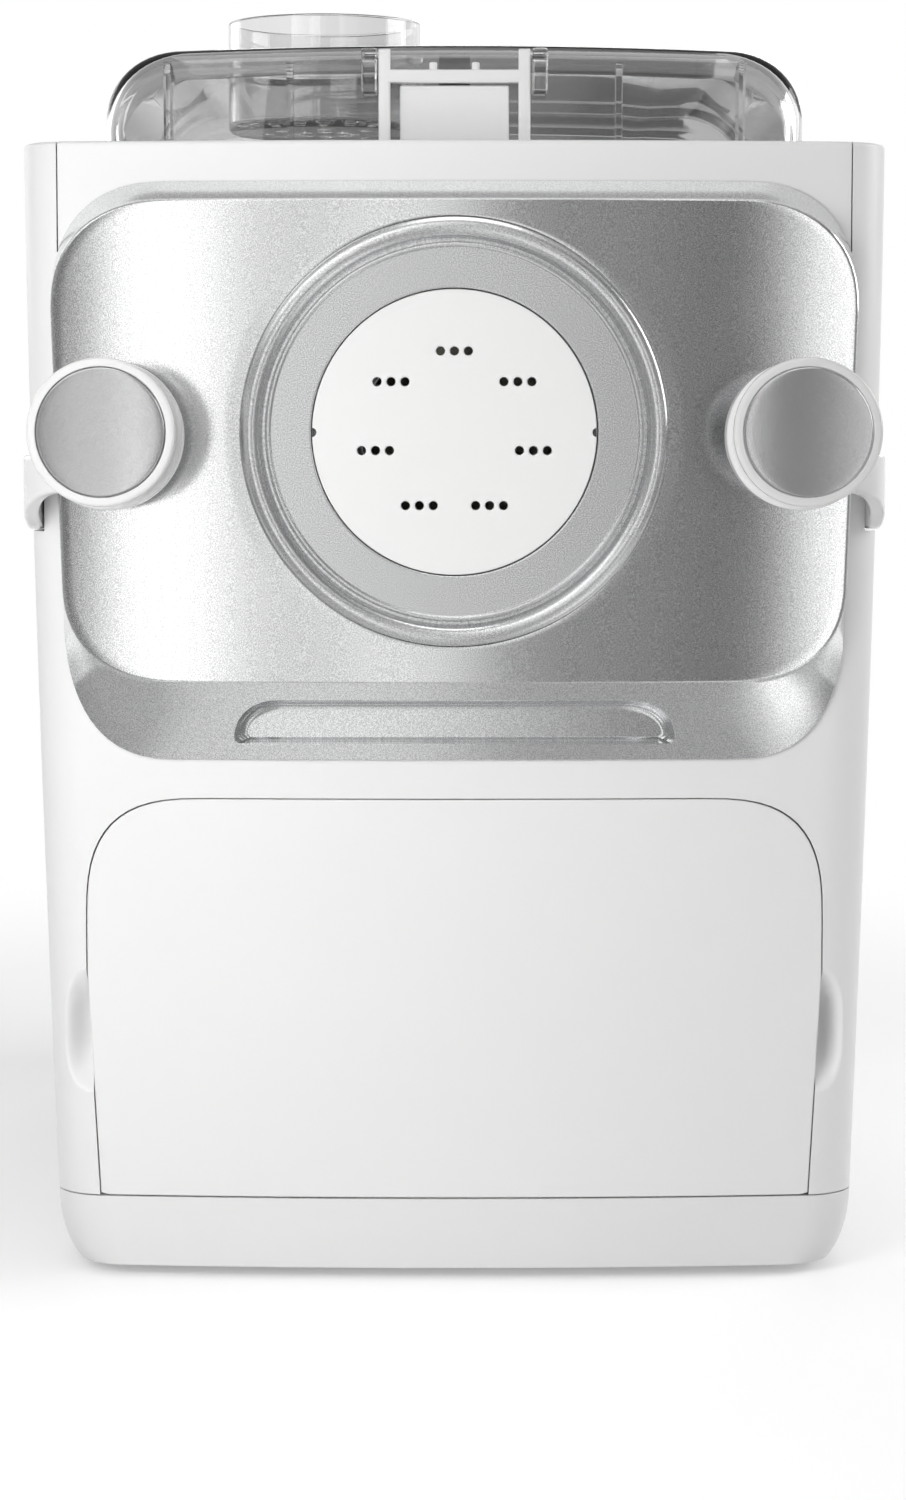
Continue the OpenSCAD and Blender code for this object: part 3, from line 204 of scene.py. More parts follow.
table_half = 3.0
table_albedo = 0.8
table_lift = 0.3  # light added to the table where the camera looks at it, so that it reads as white
table = mesh_object("table", [(x, y, 0) for x, y in oblong(-table_half, table_half, -table_half, table_half)],
                    [(0, 1, 2, 3)])
table_white, paint = new_material("table_white")
table_grain = paint.node("TexNoise", values={"Scale": 900.0, "Detail": 2.0}, out="Fac")
table_diffuse = paint.node("BsdfDiffuse", values={
    "Color": table_grain.blend(rgb(table_albedo - 0.01), rgb(table_albedo + 0.01))})
table_seen = paint.ray("Camera")
table_reach = paint.node("VectorMath", {"operation": "LENGTH"}, {0: paint.place()}, out="Value")
table_near = paint.node("AddShader", values={0: table_diffuse, 1: paint.glow(table_seen * table_lift)})
paint.node("OutputMaterial", values={"Surface": paint.node("MixShader", values={
    0: table_seen * table_reach.above(0.3, 0.75), 1: table_near, 2: paint.glow(1.0)})})
table.data.materials.append(table_white)
table.visible_glossy = False

card_radius = 2.4
card_low = -3.4
card_high = 2.6
card_reach = math.radians(80)
card_steps = 64
# Brightness of the card by the sine of its angle from the camera: -1 left, 1 right.
card_bands = ((-1.0, 0.16), (-0.42, 0.16), (-0.34, 0.02), (-0.305, 0.07), (-0.27, 1.0), (-0.225, 0.95),
              (-0.17, 0.41), (-0.1, 0.44), (-0.064, 0.56), (0.0, 0.48), (0.03, 0.25), (0.06, 0.14),
              (0.15, 0.14), (0.262, 0.02), (0.292, 0.6), (0.325, 1.0), (0.42, 0.30), (0.6, 0.14), (1.0, 0.14))
card_foot = ((-1.0, 0.22), (-0.45, 0.25), (-0.28, 0.38), (-0.12, 0.43), (-0.03, 0.40), (0.06, 0.21),
             (0.35, 0.22), (0.47, 0.4), (0.6, 0.68), (0.75, 0.68), (0.9, 0.35), (1.0, 0.3))
card_crown = ((-1.0, 0.3), (-0.75, 1.0), (-0.3, 1.0), (-0.05, 0.6), (0.2, 0.22), (0.5, 0.08), (1.0, 0.08))
card_strength = 1.7


def spread(start, end, steps):
    """Evenly spaced values from start to end."""
    return [start + (end - start) * i / steps for i in range(steps + 1)]


card = mesh_object(
    "studio_card", [(card_radius * math.sin(a), -card_radius * math.cos(a), z)
                    for z in (card_low, card_high) for a in spread(-card_reach, card_reach, card_steps)],
    [(i, i + 1, i + card_steps + 2, i + card_steps + 1) for i in range(card_steps)])
card_paint, paint = new_material("card_bands")
card_height = paint.place().axis("Z")
card_side = paint.place().axis("X") / card_radius
middle_tone = card_height.above(0.9, 1.7).blend(card_side.bands(card_bands), card_side.bands(card_crown))
card_tone = card_height.above(-1.6, -0.5).blend(card_side.bands(card_foot), middle_tone)
paint.node("OutputMaterial", values={"Surface": paint.glow(card_strength, card_tone)})
card.data.materials.append(card_paint)
for ray in ("camera", "diffuse", "transmission", "volume_scatter", "shadow"):
    setattr(card, "visible_" + ray, False)


def soft_light(name, place, target, size, watts):
    """A square soft box at place, in metres, turned towards target."""
    data = bpy.data.lights.new(name, "AREA")
    data.size = size
    data.energy = watts
    lamp = bpy.data.objects.new(name, data)
    lamp.location = place
    lamp.rotation_euler = (Vector(target) - Vector(place)).to_track_quat("-Z", "Y").to_euler()
    lamp.visible_camera = False
    bpy.context.collection.objects.link(lamp)
    return lamp


key_light = soft_light("key_light", (-0.22, -0.52, 0.26), (-0.03, -0.1, 0.18), 0.3, 1.15)
key_light.visible_glossy = False  # the card alone makes the highlights in the silver
soft_light("right_fill", (1.3, 0.1, 0.7), (0, 0, 0.2), 0.8, 7.5)
soft_light("left_fill", (-1.1, 1.1, 0.7), (0, 0.05, 0.2), 0.8, 2.5)
back_fill = soft_light("back_fill", (0.2, 1.6, 0.9), (0, 0, 0.2), 0.8, 5.5)
back_fill.visible_transmission = False  # the clear parts don't show the lamp
soft_light("top_light", (0.1, -0.4, 2.2), (0, 0, 0.2), 1.0, 6.5)

# ---------------- outer shell
# The white body: one injection moulding with a satin, lightly spark-eroded face. Its sides narrow
# towards the foot and its front bows forward. The base pan closes it below and the deck above.
body_w = 233.4
y_front = -162.0
y_back = 200.0
deck_z = 308.2
seam_z = 22.3
seam_gap = 0.34
front_radius = 1075.0
bow_y = y_front + front_radius  # y of the centre that the front is bowed about
front_corner = 15.0
rear_corner = 45.0
side_taper = 6.8
shell_wall = 2.6
deck_t = 4.0
top_edge = 1.3
past = 20.0  # how far a cutting form runs past the face that it cuts
quarter = math.pi / 2


def soft_edges(paint, radius):
    """A normal with edges softened by a radius."""
    return paint.node("Bevel", {"samples": 4}, {"Radius": radius * MM})


def raised(paint, marks, strength, depth, edge=0.0):
    """A normal with marks raised by a depth, and edges softened by a radius."""
    values = {"Strength": strength, "Distance": depth * MM, "Height": marks}
    if edge:
        values["Normal"] = soft_edges(paint, edge)
    return paint.node("Bump", values=values)


def principled(paint, values):
    """Ends a material with a Principled shader."""
    paint.node("OutputMaterial", values={"Surface": paint.node("BsdfPrincipled", values=values)})


def plastic(name, colour, roughness, grain=0.25, relief=0.012, coat=0.0, blotch=0.012):
    """Moulded plastic: a fine eroded grain in relief, faint clouding in the colour and softened edges."""
    material, paint = new_material(name)
    speck = paint.place().noise(1 / (grain * MM), 2.0)
    low, high = [rgb(*[min(1.0, max(0.0, c + change)) for c in colour]) for change in (-blotch, blotch)]
    principled(paint, {
        "Base Color": paint.place().noise(11.0, 3.0).blend(low, high), "Roughness": roughness + (speck - 0.5) * 0.12,
        "IOR": 1.49, "Coat Weight": coat, "Coat Roughness": 0.06, "Normal": raised(paint, speck, 0.6, relief, 0.35)})
    return material


def solid(name, points, faces, radius=0.0):
    """A mesh object of points in millimetres, its faces turned outward and its edges rounded if a radius is given."""
    made = mesh_object(name, [Vector(p) * MM for p in points], faces)
    work = bmesh.new()
    work.from_mesh(made.data)
    bmesh.ops.remove_doubles(work, verts=work.verts, dist=1e-6)
    bmesh.ops.recalc_face_normals(work, faces=work.faces)
    if radius:
        bmesh.ops.bevel(work, geom=work.edges[:], offset=radius * MM, segments=3, profile=0.5, affect="EDGES")
    work.to_mesh(made.data)
    work.free()
    return made


def loft(name, rings, ring_shaped=False):
    """A closed solid through rings of equally many points. A ring-shaped one joins its last ring to its first."""
    count = len(rings[0])
    points = [p for ring in rings for p in ring]
    spans = len(rings) if ring_shaped else len(rings) - 1
    faces = []
    for j in range(spans):
        k = (j + 1) % len(rings)
        faces += [(j * count + i, j * count + (i + 1) % count, k * count + (i + 1) % count, k * count + i)
                  for i in range(count)]
    if not ring_shaped:
        faces += [tuple(range(count)), tuple((len(rings) - 1) * count + i for i in range(count))]
    return solid(name, points, faces)


def final_mesh(piece):
    """A new mesh of a piece with its modifiers or its curve worked out."""
    bpy.context.view_layer.update()
    return bpy.data.meshes.new_from_object(piece.evaluated_get(bpy.context.evaluated_depsgraph_get()))


def combine(piece, operation, others):
    """Works other solids into a piece, one after another, and uses them up."""
    for other in others:
        modifier = piece.modifiers.new("combine", "BOOLEAN")
        modifier.object = other
        modifier.operation = operation
        modifier.solver = "MANIFOLD"
        rough, used = piece.data, other.data
        piece.data = final_mesh(piece)
        piece.data.name = piece.name
        piece.modifiers.clear()
        bpy.data.objects.remove(other)
        bpy.data.meshes.remove(rough)
        bpy.data.meshes.remove(used)
    return piece


def cut(piece, *others):
    """Takes other solids out of a piece."""
    return combine(piece, "DIFFERENCE", others)


def join(piece, *others):
    """Joins other solids on to a piece."""
    return combine(piece, "UNION", others)


sharp_angle = math.radians(28)


def dress(piece, material, body, slot, *nodes):
    """Shades a piece, gives it its finish, ties it to its body and hides the nodes it replaces. The slot is not used.
    """
    piece.data.shade_smooth()
    piece.data.set_sharp_from_angle(angle=sharp_angle)
    flatten = piece.modifiers.new("even_shading", "WEIGHTED_NORMAL")
    flatten.keep_sharp = True
    piece.data.materials.clear()
    piece.data.materials.append(material)
    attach(piece, body)
    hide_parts(*nodes)


def block(x0, x1, y0, y1, z0, z1, radius=0.0):
    """A block between two corners, with rounded edges if a radius is given."""
    x0, x1 = sorted((x0, x1))
    return solid("block", [(x, y, z) for z in (z0, z1) for x, y in oblong(x0, x1, y0, y1)],
                 [(0, 1, 2, 3), (4, 5, 6, 7), (0, 1, 5, 4), (1, 2, 6, 5), (2, 3, 7, 6), (3, 0, 4, 7)], radius)


def bar(half, y0, y1, z0, z1, radius=0.0):
    """A block across the middle, for its half width."""
    return block(-half, half, y0, y1, z0, z1, radius)


def arc(centre, radius, start, end, steps):
    """Points along an arc between two angles."""
    return [(centre[0] + radius * math.cos(a), centre[1] + radius * math.sin(a))
            for a in spread(start, end, steps)]


def ring_of(radius, centre=(0, 0), steps=32):
    """A circle as an outline."""
    return arc(centre, radius, 0, math.tau, steps)[:-1]


quarter_round = arc((0, 0), 1, 0, quarter, 5)  # the steps of a small rounded edge


def turned(name, profile, centre, axis="Y", steps=96, ring_shaped=False):
    """A solid turned about an axis: profile holds (radius, height) pairs. Along Y, height runs forward."""
    cx, cy, cz = centre
    rings = []
    for radius, height in profile:
        rings.append([{"Y": (cx + u, cy - height, cz + v), "Z": (cx + u, cy + v, cz + height),
                       "X": (cx + height, cy + u, cz + v)}[axis] for u, v in ring_of(radius, steps=steps)])
    return loft(name, rings, ring_shaped)


def rod(axis, centre, radius, start, end, steps=64):
    """A plain rod along an axis, for bores and joined bosses."""
    return turned("rod", [(radius, height) for height in sorted((start, end))], centre, axis, steps)


def half_width(z):
    """Half the body's width at height z."""
    return body_w / 2 - side_taper * (max(0.0, deck_z - z) / (deck_z - seam_z)) ** 1.5


def front_y(x, proud=0.0):
    """Y of the bowed front at a distance x from the middle, moved forward by proud."""
    radius = front_radius + proud
    return bow_y - math.sqrt(radius * radius - x * x)


def both_halves(right):
    """An outline from its right half."""
    return right + [(-x, y) for x, y in reversed(right)]


def at_z(points, z):
    """Points in X and Y put at one height."""
    return [(x, y, z) for x, y in points]


def body_outline(half, inset, z):
    """The body seen from above for a half width, moved inward, as points at height z."""
    bow, nose, tail = front_radius - inset, front_corner - inset, rear_corner - inset
    x = half - inset
    nose_y = bow_y - math.sqrt((bow - nose) ** 2 - (x - nose) ** 2)
    turn = math.asin((x - nose) / (bow - nose)) - quarter
    right = arc((0, bow_y), bow, -quarter, turn, 56) + arc((x - nose, nose_y), nose, turn, 0, 12)[1:]
    right += arc((x - tail, y_back - inset - tail), tail, 0, quarter, 20)
    return at_z(both_halves(right)[:-1], z)


def body_form(name, inset, z0, z1, edge=0.0):
    """The body between two heights, moved inward, with a rounded top edge."""
    rings = [body_outline(half_width(z), inset, z) for z in spread(z0, z1 - edge, 18)]
    if edge:
        rings += [body_outline(half_width(z1), inset + edge * (1 - c), z1 - edge * (1 - s))
                  for c, s in quarter_round[1:]]
    return loft(name, rings)


def mirrored(make):
    """What make(side) builds, once for each side."""
    return [make(side) for side in (-1, 1)]


deck_inset = 10.4
apron_h = 29.0


def deck_share(gap):
    """The deck's share of the body: its plate, and its apron down the front."""
    radius = rear_corner - deck_inset + gap
    x = body_w / 2 - deck_inset + gap
    y1 = y_back - deck_inset + gap
    outline = both_halves([(x, y_front - past)] + arc((x - radius, y1 - radius), radius, 0, quarter, 16))
    return join(loft("deck_share", [at_z(outline, deck_z - deck_t - past), at_z(outline, deck_z + past)]),
                bar(x, y_front - past, y_front + past, deck_z - apron_h - gap, deck_z - 1))


def superellipse(centre, rx, rz, start, power, steps=14):
    """A quarter of a superellipse in X and Z, from the angle start, in degrees."""
    points = []
    for c, s in arc((0, 0), 1, math.radians(start), math.radians(start + 90), steps):
        c, s = round(c, 9), round(s, 9)
        points.append((centre[0] + rx * math.copysign(abs(c) ** (2 / power), c),
                       centre[1] + rz * math.copysign(abs(s) ** (2 / power), s)))
    return points


def shoulders(x, z, rx, rz, power, crown=()):
    """The two soft upper corners of an outline that reaches to x and up to z, with a crown between them."""
    return (superellipse((x - rx, z - rz), rx, rz, 0, power) + list(crown)
            + superellipse((rx - x, z - rz), rx, rz, 90, power))


drawer_half = 100.0
drawer_top = 131.6
drawer_bend = 84.1
drawer_taper = 3.3
drawer_rx = 34.0
drawer_rz = 35.0


def drawer_outline(gap):
    """The drawer front in X and Z, moved outward by a gap."""
    x = drawer_half + gap
    z0 = seam_z + seam_gap - gap
    return ([(drawer_taper - x, z0), (x - drawer_taper, z0), (x, drawer_bend)]
            + shoulders(x, drawer_top + gap, drawer_rx, drawer_rz, 3.0) + [(-x, drawer_bend)])


def at_y(points, y):
    """Points in X and Z put at one distance from front to back."""
    return [(x, y, z) for x, z in points]


scoop_z = 68.0
scoop_half_h = 17.6
scoop_reach = 8.0
scoop_depth = 10.0
scoop_lap = 4.0  # how far the hollow runs in behind the drawer's edge
scoop_wall_t = 2.0


def shell_front(x, z):
    """Y of the body's front at a place, round its corner too."""
    centre = half_width(z) - front_corner
    reach = front_radius - front_corner
    if x <= centre * front_radius / reach:
        return front_y(x)
    return bow_y - math.sqrt(reach ** 2 - centre ** 2) - math.sqrt(max(0.0, front_corner ** 2 - (x - centre) ** 2))


def scoop_cut(side):
    """The form that cuts the hollow: deepest at the drawer's edge and fading softly into the body."""
    edge_x = drawer_half - 1
    rings = []
    for dz in spread(-scoop_half_h, scoop_half_h, 48):
        ring = []
        for u in spread(-scoop_lap, scoop_reach, 26):
            far = min(1.0, ((max(0.0, u) / scoop_reach) ** 2.4 + abs(dz / scoop_half_h) ** 3) ** 0.5)
            depth = (scoop_depth - 1.5) * ((1 + math.cos(math.pi * far)) / 2) ** 0.8 - 0.04
            ring.append((side * (edge_x + u), shell_front(edge_x + u, scoop_z + dz) + depth, scoop_z + dz))
        rings.append(ring + [(side * (edge_x + u), y_front - past, scoop_z + dz) for u in (scoop_reach, -scoop_lap)])
    return loft("scoop_cut", rings)


def scoop_wall(side):
    """The wall behind the hollow for a fingertip beside the drawer, as an egg."""
    power = 2.5
    centre_x = drawer_half - 1.6
    rings = []
    for lift in spread(0, math.pi, 16):
        z = scoop_z - (scoop_half_h + scoop_wall_t) * math.copysign(abs(math.cos(lift)) ** (2 / power), math.cos(lift))
        rings.append([(side * (centre_x + (scoop_reach + scoop_wall_t) * u),
                       front_y(centre_x) + (scoop_depth + scoop_wall_t) * v, z)
                      for u, v in ring_of(math.sin(lift) ** (2 / power), steps=40)])
    return loft("scoop_wall", rings)


arm_z = 204.5
arm_h = 20.1
arm_out = 115.7
arm_t = 4.0
pin_x = 112.43
pin_y = -100.0
pin_r = 1.5
barrel_r = 3.2
pocket_gap = 0.5


def arm_pocket(side):
    """The slot in the body's side in which an arm lies, with the round end about its pin."""
    x0 = arm_out - arm_t - pocket_gap
    z0, z1 = arm_z - pocket_gap, arm_z + arm_h + pocket_gap
    return join(block(side * x0, side * (x0 + past), y_front - past, pin_y + barrel_r + pocket_gap, z0, z1),
                rod("Z", (side * pin_x, pin_y, 0), barrel_r + pocket_gap, z0, z1))


def arm_lug(side):
    """The thickened wall behind an arm's slot, which holds its pin."""
    return block(side * (pin_x - barrel_r - pocket_gap - 2), side * body_w, y_front - past, pin_y + barrel_r + 6,
                 arm_z - 8, arm_z + arm_h + 8)


axis_z = 230.6
ring_r = 57.0


def outlet_bore():
    """The round opening behind the outlet ring."""
    return rod("Y", (0, 0, axis_z), ring_r + 3, -y_front - past, -y_front + past)


panel_bottom = 142.6
face_bottom = 164.0
grip_half = 59.4
rear_half = 80.0
rear_z0 = 40.0
rear_z1 = 284.0
rear_t = 2.4
rear_ledge = 6.0
front_back = y_front + 10

shell_white = plastic("shell_white", (0.86, 0.86, 0.858), 0.34)
hollow = body_form("hollow", shell_wall, seam_z - 10, deck_z - deck_t)
cut(hollow, *mirrored(arm_lug), *mirrored(scoop_wall))
drawer_mouth = loft("drawer_mouth", [at_y(drawer_outline(0.4), y) for y in (y_front - past, front_back + 1)])
outer_shell = body_form("outer_shell_visual", 0, seam_z + seam_gap / 2, deck_z, top_edge)
cut(outer_shell, hollow, deck_share(seam_gap), drawer_mouth,
    bar(drawer_half - 4, y_front - past, front_back + 1, seam_z - past, seam_z + 2), outlet_bore(),
    bar(grip_half + 5, y_front - past, y_front + past, panel_bottom + 1.6, face_bottom + 6),
    *mirrored(arm_pocket), *mirrored(scoop_cut),
    bar(rear_half, y_back - rear_t - 0.1, y_back + past, rear_z0, rear_z1),
    bar(rear_half - rear_ledge, y_back - past, y_back + past, rear_z0 + rear_ledge, rear_z1 - rear_ledge))
dress(outer_shell, shell_white, "root", "shell_white", "outer_shell")

# ---------------- base pan
# The foot of the body: a white pan that curves in under the sides. It snaps into the shell with an
# upright lip, and four screws go up through it from below.
base_tuck = 12.0
foot_h = 3.0
base_floor = 2.6
foot_r = 9.0
foot_x = 70.7
foot_y = (-132.0, 154.0)
base_screw_x = 86.7
base_screw_y = (44.1, 154.0)
base_boss_r = 4.5
base_screw_r = 3.6
z_base = seam_z - seam_gap / 2
lip_inset = shell_wall + 0.3
lip_h = 4.0


def pan_form(name, inset, z0):
    """The pan's outer form from a height up to the seam, moved inward."""
    rings = []
    for turn in spread(0, quarter, 22):
        z = z0 + (z_base - z0) * math.sin(turn)
        share = min(1.0, (z_base - z) / (z_base - foot_h + 3))
        tuck = base_tuck * (1 - math.sqrt(1 - share * share))
        rings.append(body_outline(half_width(z_base) - tuck, inset, z))
    return loft(name, rings)


def lip_form(inset, z0, z1):
    """An upright form inside the seam, between two heights."""
    return loft("lip", [body_outline(half_width(z_base), inset, z) for z in (z0, z1)])


base_white = plastic("base_white", (0.84, 0.84, 0.838), 0.36)
base_pan = pan_form("base_pan_visual", 0, foot_h)
cut(base_pan, pan_form("pan_hollow", shell_wall, foot_h + base_floor))
lip = lip_form(lip_inset, z_base - 8, z_base + lip_h)
cut(lip, lip_form(lip_inset + shell_wall, 0, z_base + lip_h + 5),
    bar(drawer_half + 2, y_front - past, y_front + past, z_base, deck_z))
join(base_pan, lip)
for side in (-1, 1):
    for y in base_screw_y:
        join(base_pan, rod("Z", (side * base_screw_x, y, 0), base_boss_r, foot_h + 1, z_base - 4, 32))
        cut(base_pan, rod("Z", (side * base_screw_x, y, 0), base_screw_r, -1, foot_h + 4, 32))
    for y in foot_y:
        cut(base_pan, rod("Z", (side * foot_x, y, 0), foot_r + 0.1, -1, foot_h + 1.2, 48))
dress(base_pan, base_white, "root", "base_white", "base_pan")

# ---------------- top deck
# The white lid of the body, with an apron down its front to behind the silver panel. It carries the
# mixing chamber's flange, the control panel and the four lugs of the lid's hinge.
chamber_y0 = -122.0
chamber_y1 = 60.0
chamber_half = 79.5
flange_w = 4.3
flange_t = 2.4
hinge_y = 75.0
hinge_z = 312.3
hinge_r = 3.6
hinge_pin_r = 1.5
lug_t = 5.0
knuckle_x = (63.4, 76.6)
control_half = 70.0
control_y = (100.0, 182.0)
control_top = 308.45
control_ledge = 5.0


def deck_opening(margin, z0):
    """An opening round the mixing chamber, wider than it by a margin."""
    return bar(chamber_half + margin, chamber_y0 - margin, chamber_y1 + margin, z0, deck_z + 1)


def hinge_lug(x0, x1, y0, y1, z0, z1):
    """A block with a round eye about the hinge's pin."""
    return join(block(x0, x1, y0, y1, z0, z1), rod("X", (0, hinge_y, hinge_z), hinge_r, x0, x1))


deck_white = plastic("deck_white", (0.86, 0.86, 0.858), 0.33)
top_deck = body_form("top_deck_visual", 0, deck_z - apron_h - past, deck_z, top_edge)
cut(top_deck, body_form("deck_hollow", shell_wall, deck_z - apron_h - 2 * past, deck_z - deck_t))
combine(top_deck, "INTERSECT", [deck_share(0.0)])
join(top_deck, *[hinge_lug(side * x, side * (x + lug_t), hinge_y - hinge_r, hinge_y + hinge_r, deck_z - 1, hinge_z)
                 for side in (-1, 1) for x in (knuckle_x[0] - 0.4 - lug_t, knuckle_x[1] + 0.4)])
cut(top_deck, deck_opening(0.5, deck_z - past), deck_opening(flange_w + 0.2, deck_z - flange_t),
    bar(control_half, *control_y, control_top - 2.7, deck_z + 1),
    bar(control_half - control_ledge, control_y[0] + control_ledge, control_y[1] - control_ledge, deck_z - past,
        deck_z + 1), outlet_bore())
dress(top_deck, deck_white, "root", "deck_white", "top_deck")

# ---------------- front panel
# The cover over the outlet: a moulding in metallic silver paint that follows the bowed front. A narrow
# bevel runs over its top and a broad one under it, where a hollow takes the fingertips that lift it.
panel_t = 9.0
y_face = y_front - panel_t
panel_top = 297.3
face_top = 292.0
panel_half = (105.6, 108.0)  # half widths at the bottom and at the top
face_inset = 0.4
edge_rx, edge_rz = 30.0, (42.0, 31.0)  # the corners of the panel's edge, below and above
face_rx, face_rz = 32.0, (28.5, 28.5)
panel_edge = 1.0  # how far the panel's edge stands proud of the body
bevel_rise = 7.4
ring_seat = 2.1  # how deep the outlet ring sits in the panel's face
face_edge = 0.018  # how far the face's rounded edge runs in towards the ring, as a share
spokes = 480


def panel_outline(half, z0, z1, rx, rz):
    """An outline of the panel in X and Z, with soft corners, for half widths and corner heights below and above."""
    (x0, x1), (rz0, rz1) = half, rz
    return (shoulders(x1, z1, rx, rz1, 2.3) + superellipse((rx - x0, z0 + rz0), rx, rz0, 180, 2.5)
            + superellipse((x0 - rx, z0 + rz0), rx, rz0, 270, 2.5))


def on_spokes(outline, centre):
    """Where evenly spread rays from a centre meet an outline round it, in X and Z."""
    cx, cz = centre
    sides = list(zip(outline, outline[1:] + outline[:1]))
    points = []
    for dx, dz in ring_of(1, steps=spokes):
        reach = 0.0
        for (ax, az), (bx, bz) in sides:
            ex, ez = bx - ax, bz - az
            cross = dx * ez - dz * ex
            if abs(cross) < 1e-9:
                continue
            along = ((ax - cx) * ez - (az - cz) * ex) / cross
            share = ((ax - cx) * dz - (az - cz) * dx) / cross
            if along > reach and -1e-9 <= share <= 1 + 1e-9:
                reach = along
        points.append((cx + reach * dx, cz + reach * dz))
    return points


def between(first, second, share):
    """Points part of the way from one outline to another."""
    return [(a[0] + (b[0] - a[0]) * share, a[1] + (b[1] - a[1]) * share) for a, b in zip(first, second)]


def on_front(points, proud):
    """Points in X and Z laid on the bowed front, proud of it."""
    return [(x, front_y(x, proud), z) for x, z in points]


def metallic(name, colour, roughness, grain, sparkle, relief, metal=0.88):
    """Metallic paint: bright flakes in a darker coat, with a fine orange-peel relief."""
    material, paint = new_material(name)
    flake = paint.place().noise(1 / (grain * MM), 1.0)
    low, high = [rgb(*[min(1.0, c * share) for c in colour]) for share in (1 - sparkle, 1 + sparkle)]
    principled(paint, {
        "Base Color": flake.above(0.3, 0.7).blend(low, high), "Metallic": metal,
        "Roughness": roughness + (paint.place().noise(18.0, 2.0) - 0.5) * 0.06,
        "Normal": raised(paint, flake, 0.5, relief, 0.4)})
    return material


outlet = (0, axis_z)
edge_outline = on_spokes(panel_outline(panel_half, panel_bottom, panel_top, edge_rx, edge_rz), outlet)
face_outline = on_spokes(panel_outline([half - face_inset for half in panel_half], face_bottom, face_top, face_rx,
                                       face_rz), outlet)
seat_circle = ring_of(ring_r + 0.05, outlet, spokes)
bore_circle = ring_of(ring_r - 6.9, outlet, spokes)
seat_y = y_face + ring_seat
panel_rings = [on_front(between(edge_outline, face_outline, 0.04), 0.06), on_front(edge_outline, 0.3),
               on_front(edge_outline, panel_edge)]
panel_rings += [on_front(between(edge_outline, face_outline, share), panel_edge + bevel_rise * share)
                for share in (0.06, 0.3, 0.6, 0.86, 0.94)]
panel_rings += [on_front(between(face_outline, seat_circle, face_edge * step), panel_t - 0.55 * (1 - step) ** 2)
                for step in (0.0, 0.3, 0.65, 1.0)]
panel_rings += [on_front(between(face_outline, seat_circle, share), panel_t)
                for share in spread(face_edge, 1, 22)[1:-1]]
panel_rings += [on_front(seat_circle, panel_t - 0.1), at_y(seat_circle, seat_y), at_y(bore_circle, seat_y),
                on_front(bore_circle, 0.06)]

panel_silver = metallic("panel_silver", (0.82, 0.825, 0.83), 0.135, 0.3, 0.20, 0.006, 0.95)
front_panel = loft("front_panel_visual", panel_rings, ring_shaped=True)
grip_z0 = 147.1
grip_z1 = 159.1
grip_floor_y = y_front + 4
housing = on_spokes(oblong(-grip_half - 4, grip_half + 4, panel_bottom + 2.4, face_bottom + 5), (0, panel_bottom + 14))
join(front_panel, loft("housing", [on_front(housing, 0.5), at_y(housing, grip_floor_y + 2.4)]))


def rounded(points, radii, steps=6):
    """An outline with each corner rounded. A radius is shortened where its sides are too short for it."""
    out = []
    for i, point in enumerate(points):
        here = Vector(point)
        back = Vector(points[i - 1]) - here
        ahead = Vector(points[(i + 1) % len(points)]) - here
        radius = radii[i] if isinstance(radii, (list, tuple)) else radii
        if not radius:
            out.append(tuple(here))
            continue
        half_angle = back.angle(ahead) / 2
        reach = min(radius / math.tan(half_angle), 0.49 * back.length, 0.49 * ahead.length)
        start = here + back.normalized() * reach
        end = here + ahead.normalized() * reach
        out += [tuple(start * (1 - u) ** 2 + here * 2 * u * (1 - u) + end * u * u) for u in spread(0, 1, steps)]
    return out


grip_rx = 12.0
grip_rz = 11.0
grip_rings = []
for y, shrink in ((y_front - past, 0.0), (y_front - 1.5, 0.0), (grip_floor_y - 2.8, 0.8), (grip_floor_y - 1.4, 1.3),
                  (grip_floor_y - 0.5, 2.1), (grip_floor_y, 3.4)):
    x, z0 = grip_half - shrink, grip_z0 + 0.4 * shrink
    grip_rings.append(at_y([(1.0 - x, z0), (x - 1.0, z0)]
                           + shoulders(x, grip_z1 - shrink, grip_rx, grip_rz - 1.4 * shrink, 2.1), y))
cut(front_panel, loft("grip", grip_rings))
dress(front_panel, panel_silver, "root", "panel_silver", "front_panel")

# ---------------- outlet ring and shaping disc
# A turned silver ring with a raised lip, a dark groove and a broad rounded rim holds the white disc
# with its clusters of outlet holes. Two half-round notches in the disc's edge take a key.
disc_r = 37.8
disc_t = 6.0
cluster_count = 7
cluster_r = 21.5
hole_pitch = 3.7
hole_r = 1.2
notch_r = 1.2

ring_profile = rounded([(disc_r + 0.3, -disc_t), (disc_r + 0.3, 0.6), (ring_r - 8.2, 0.6), (ring_r - 8.0, 1.2),
                        (ring_r - 7.1, 1.2), (ring_r - 6.8, -1.1), (ring_r - 5.9, -1.1)],
                       [0, 0.4, 0.15, 0.4, 0.4, 0.4, 0], 5)
ring_profile += [(ring_r - 2.8 + 2.8 * c, -0.9 + 2.5 * s)
                 for c, s in arc((0, 0), 1, math.radians(175), math.radians(15), 20)]
ring_profile += [(ring_r, -2), (ring_r - 7, -2), (ring_r - 7, -panel_t + 1), (disc_r - 3.8, -panel_t + 1),
                 (disc_r - 3.8, -disc_t)]
ring_silver = metallic("ring_silver", (0.80, 0.805, 0.81), 0.27, 0.3, 0.18, 0.008, 0.95)
outlet_ring = turned("outlet_ring_visual", ring_profile, (0, y_face, axis_z), steps=192, ring_shaped=True)
dress(outlet_ring, ring_silver, "root", "ring_silver", "outlet_ring")


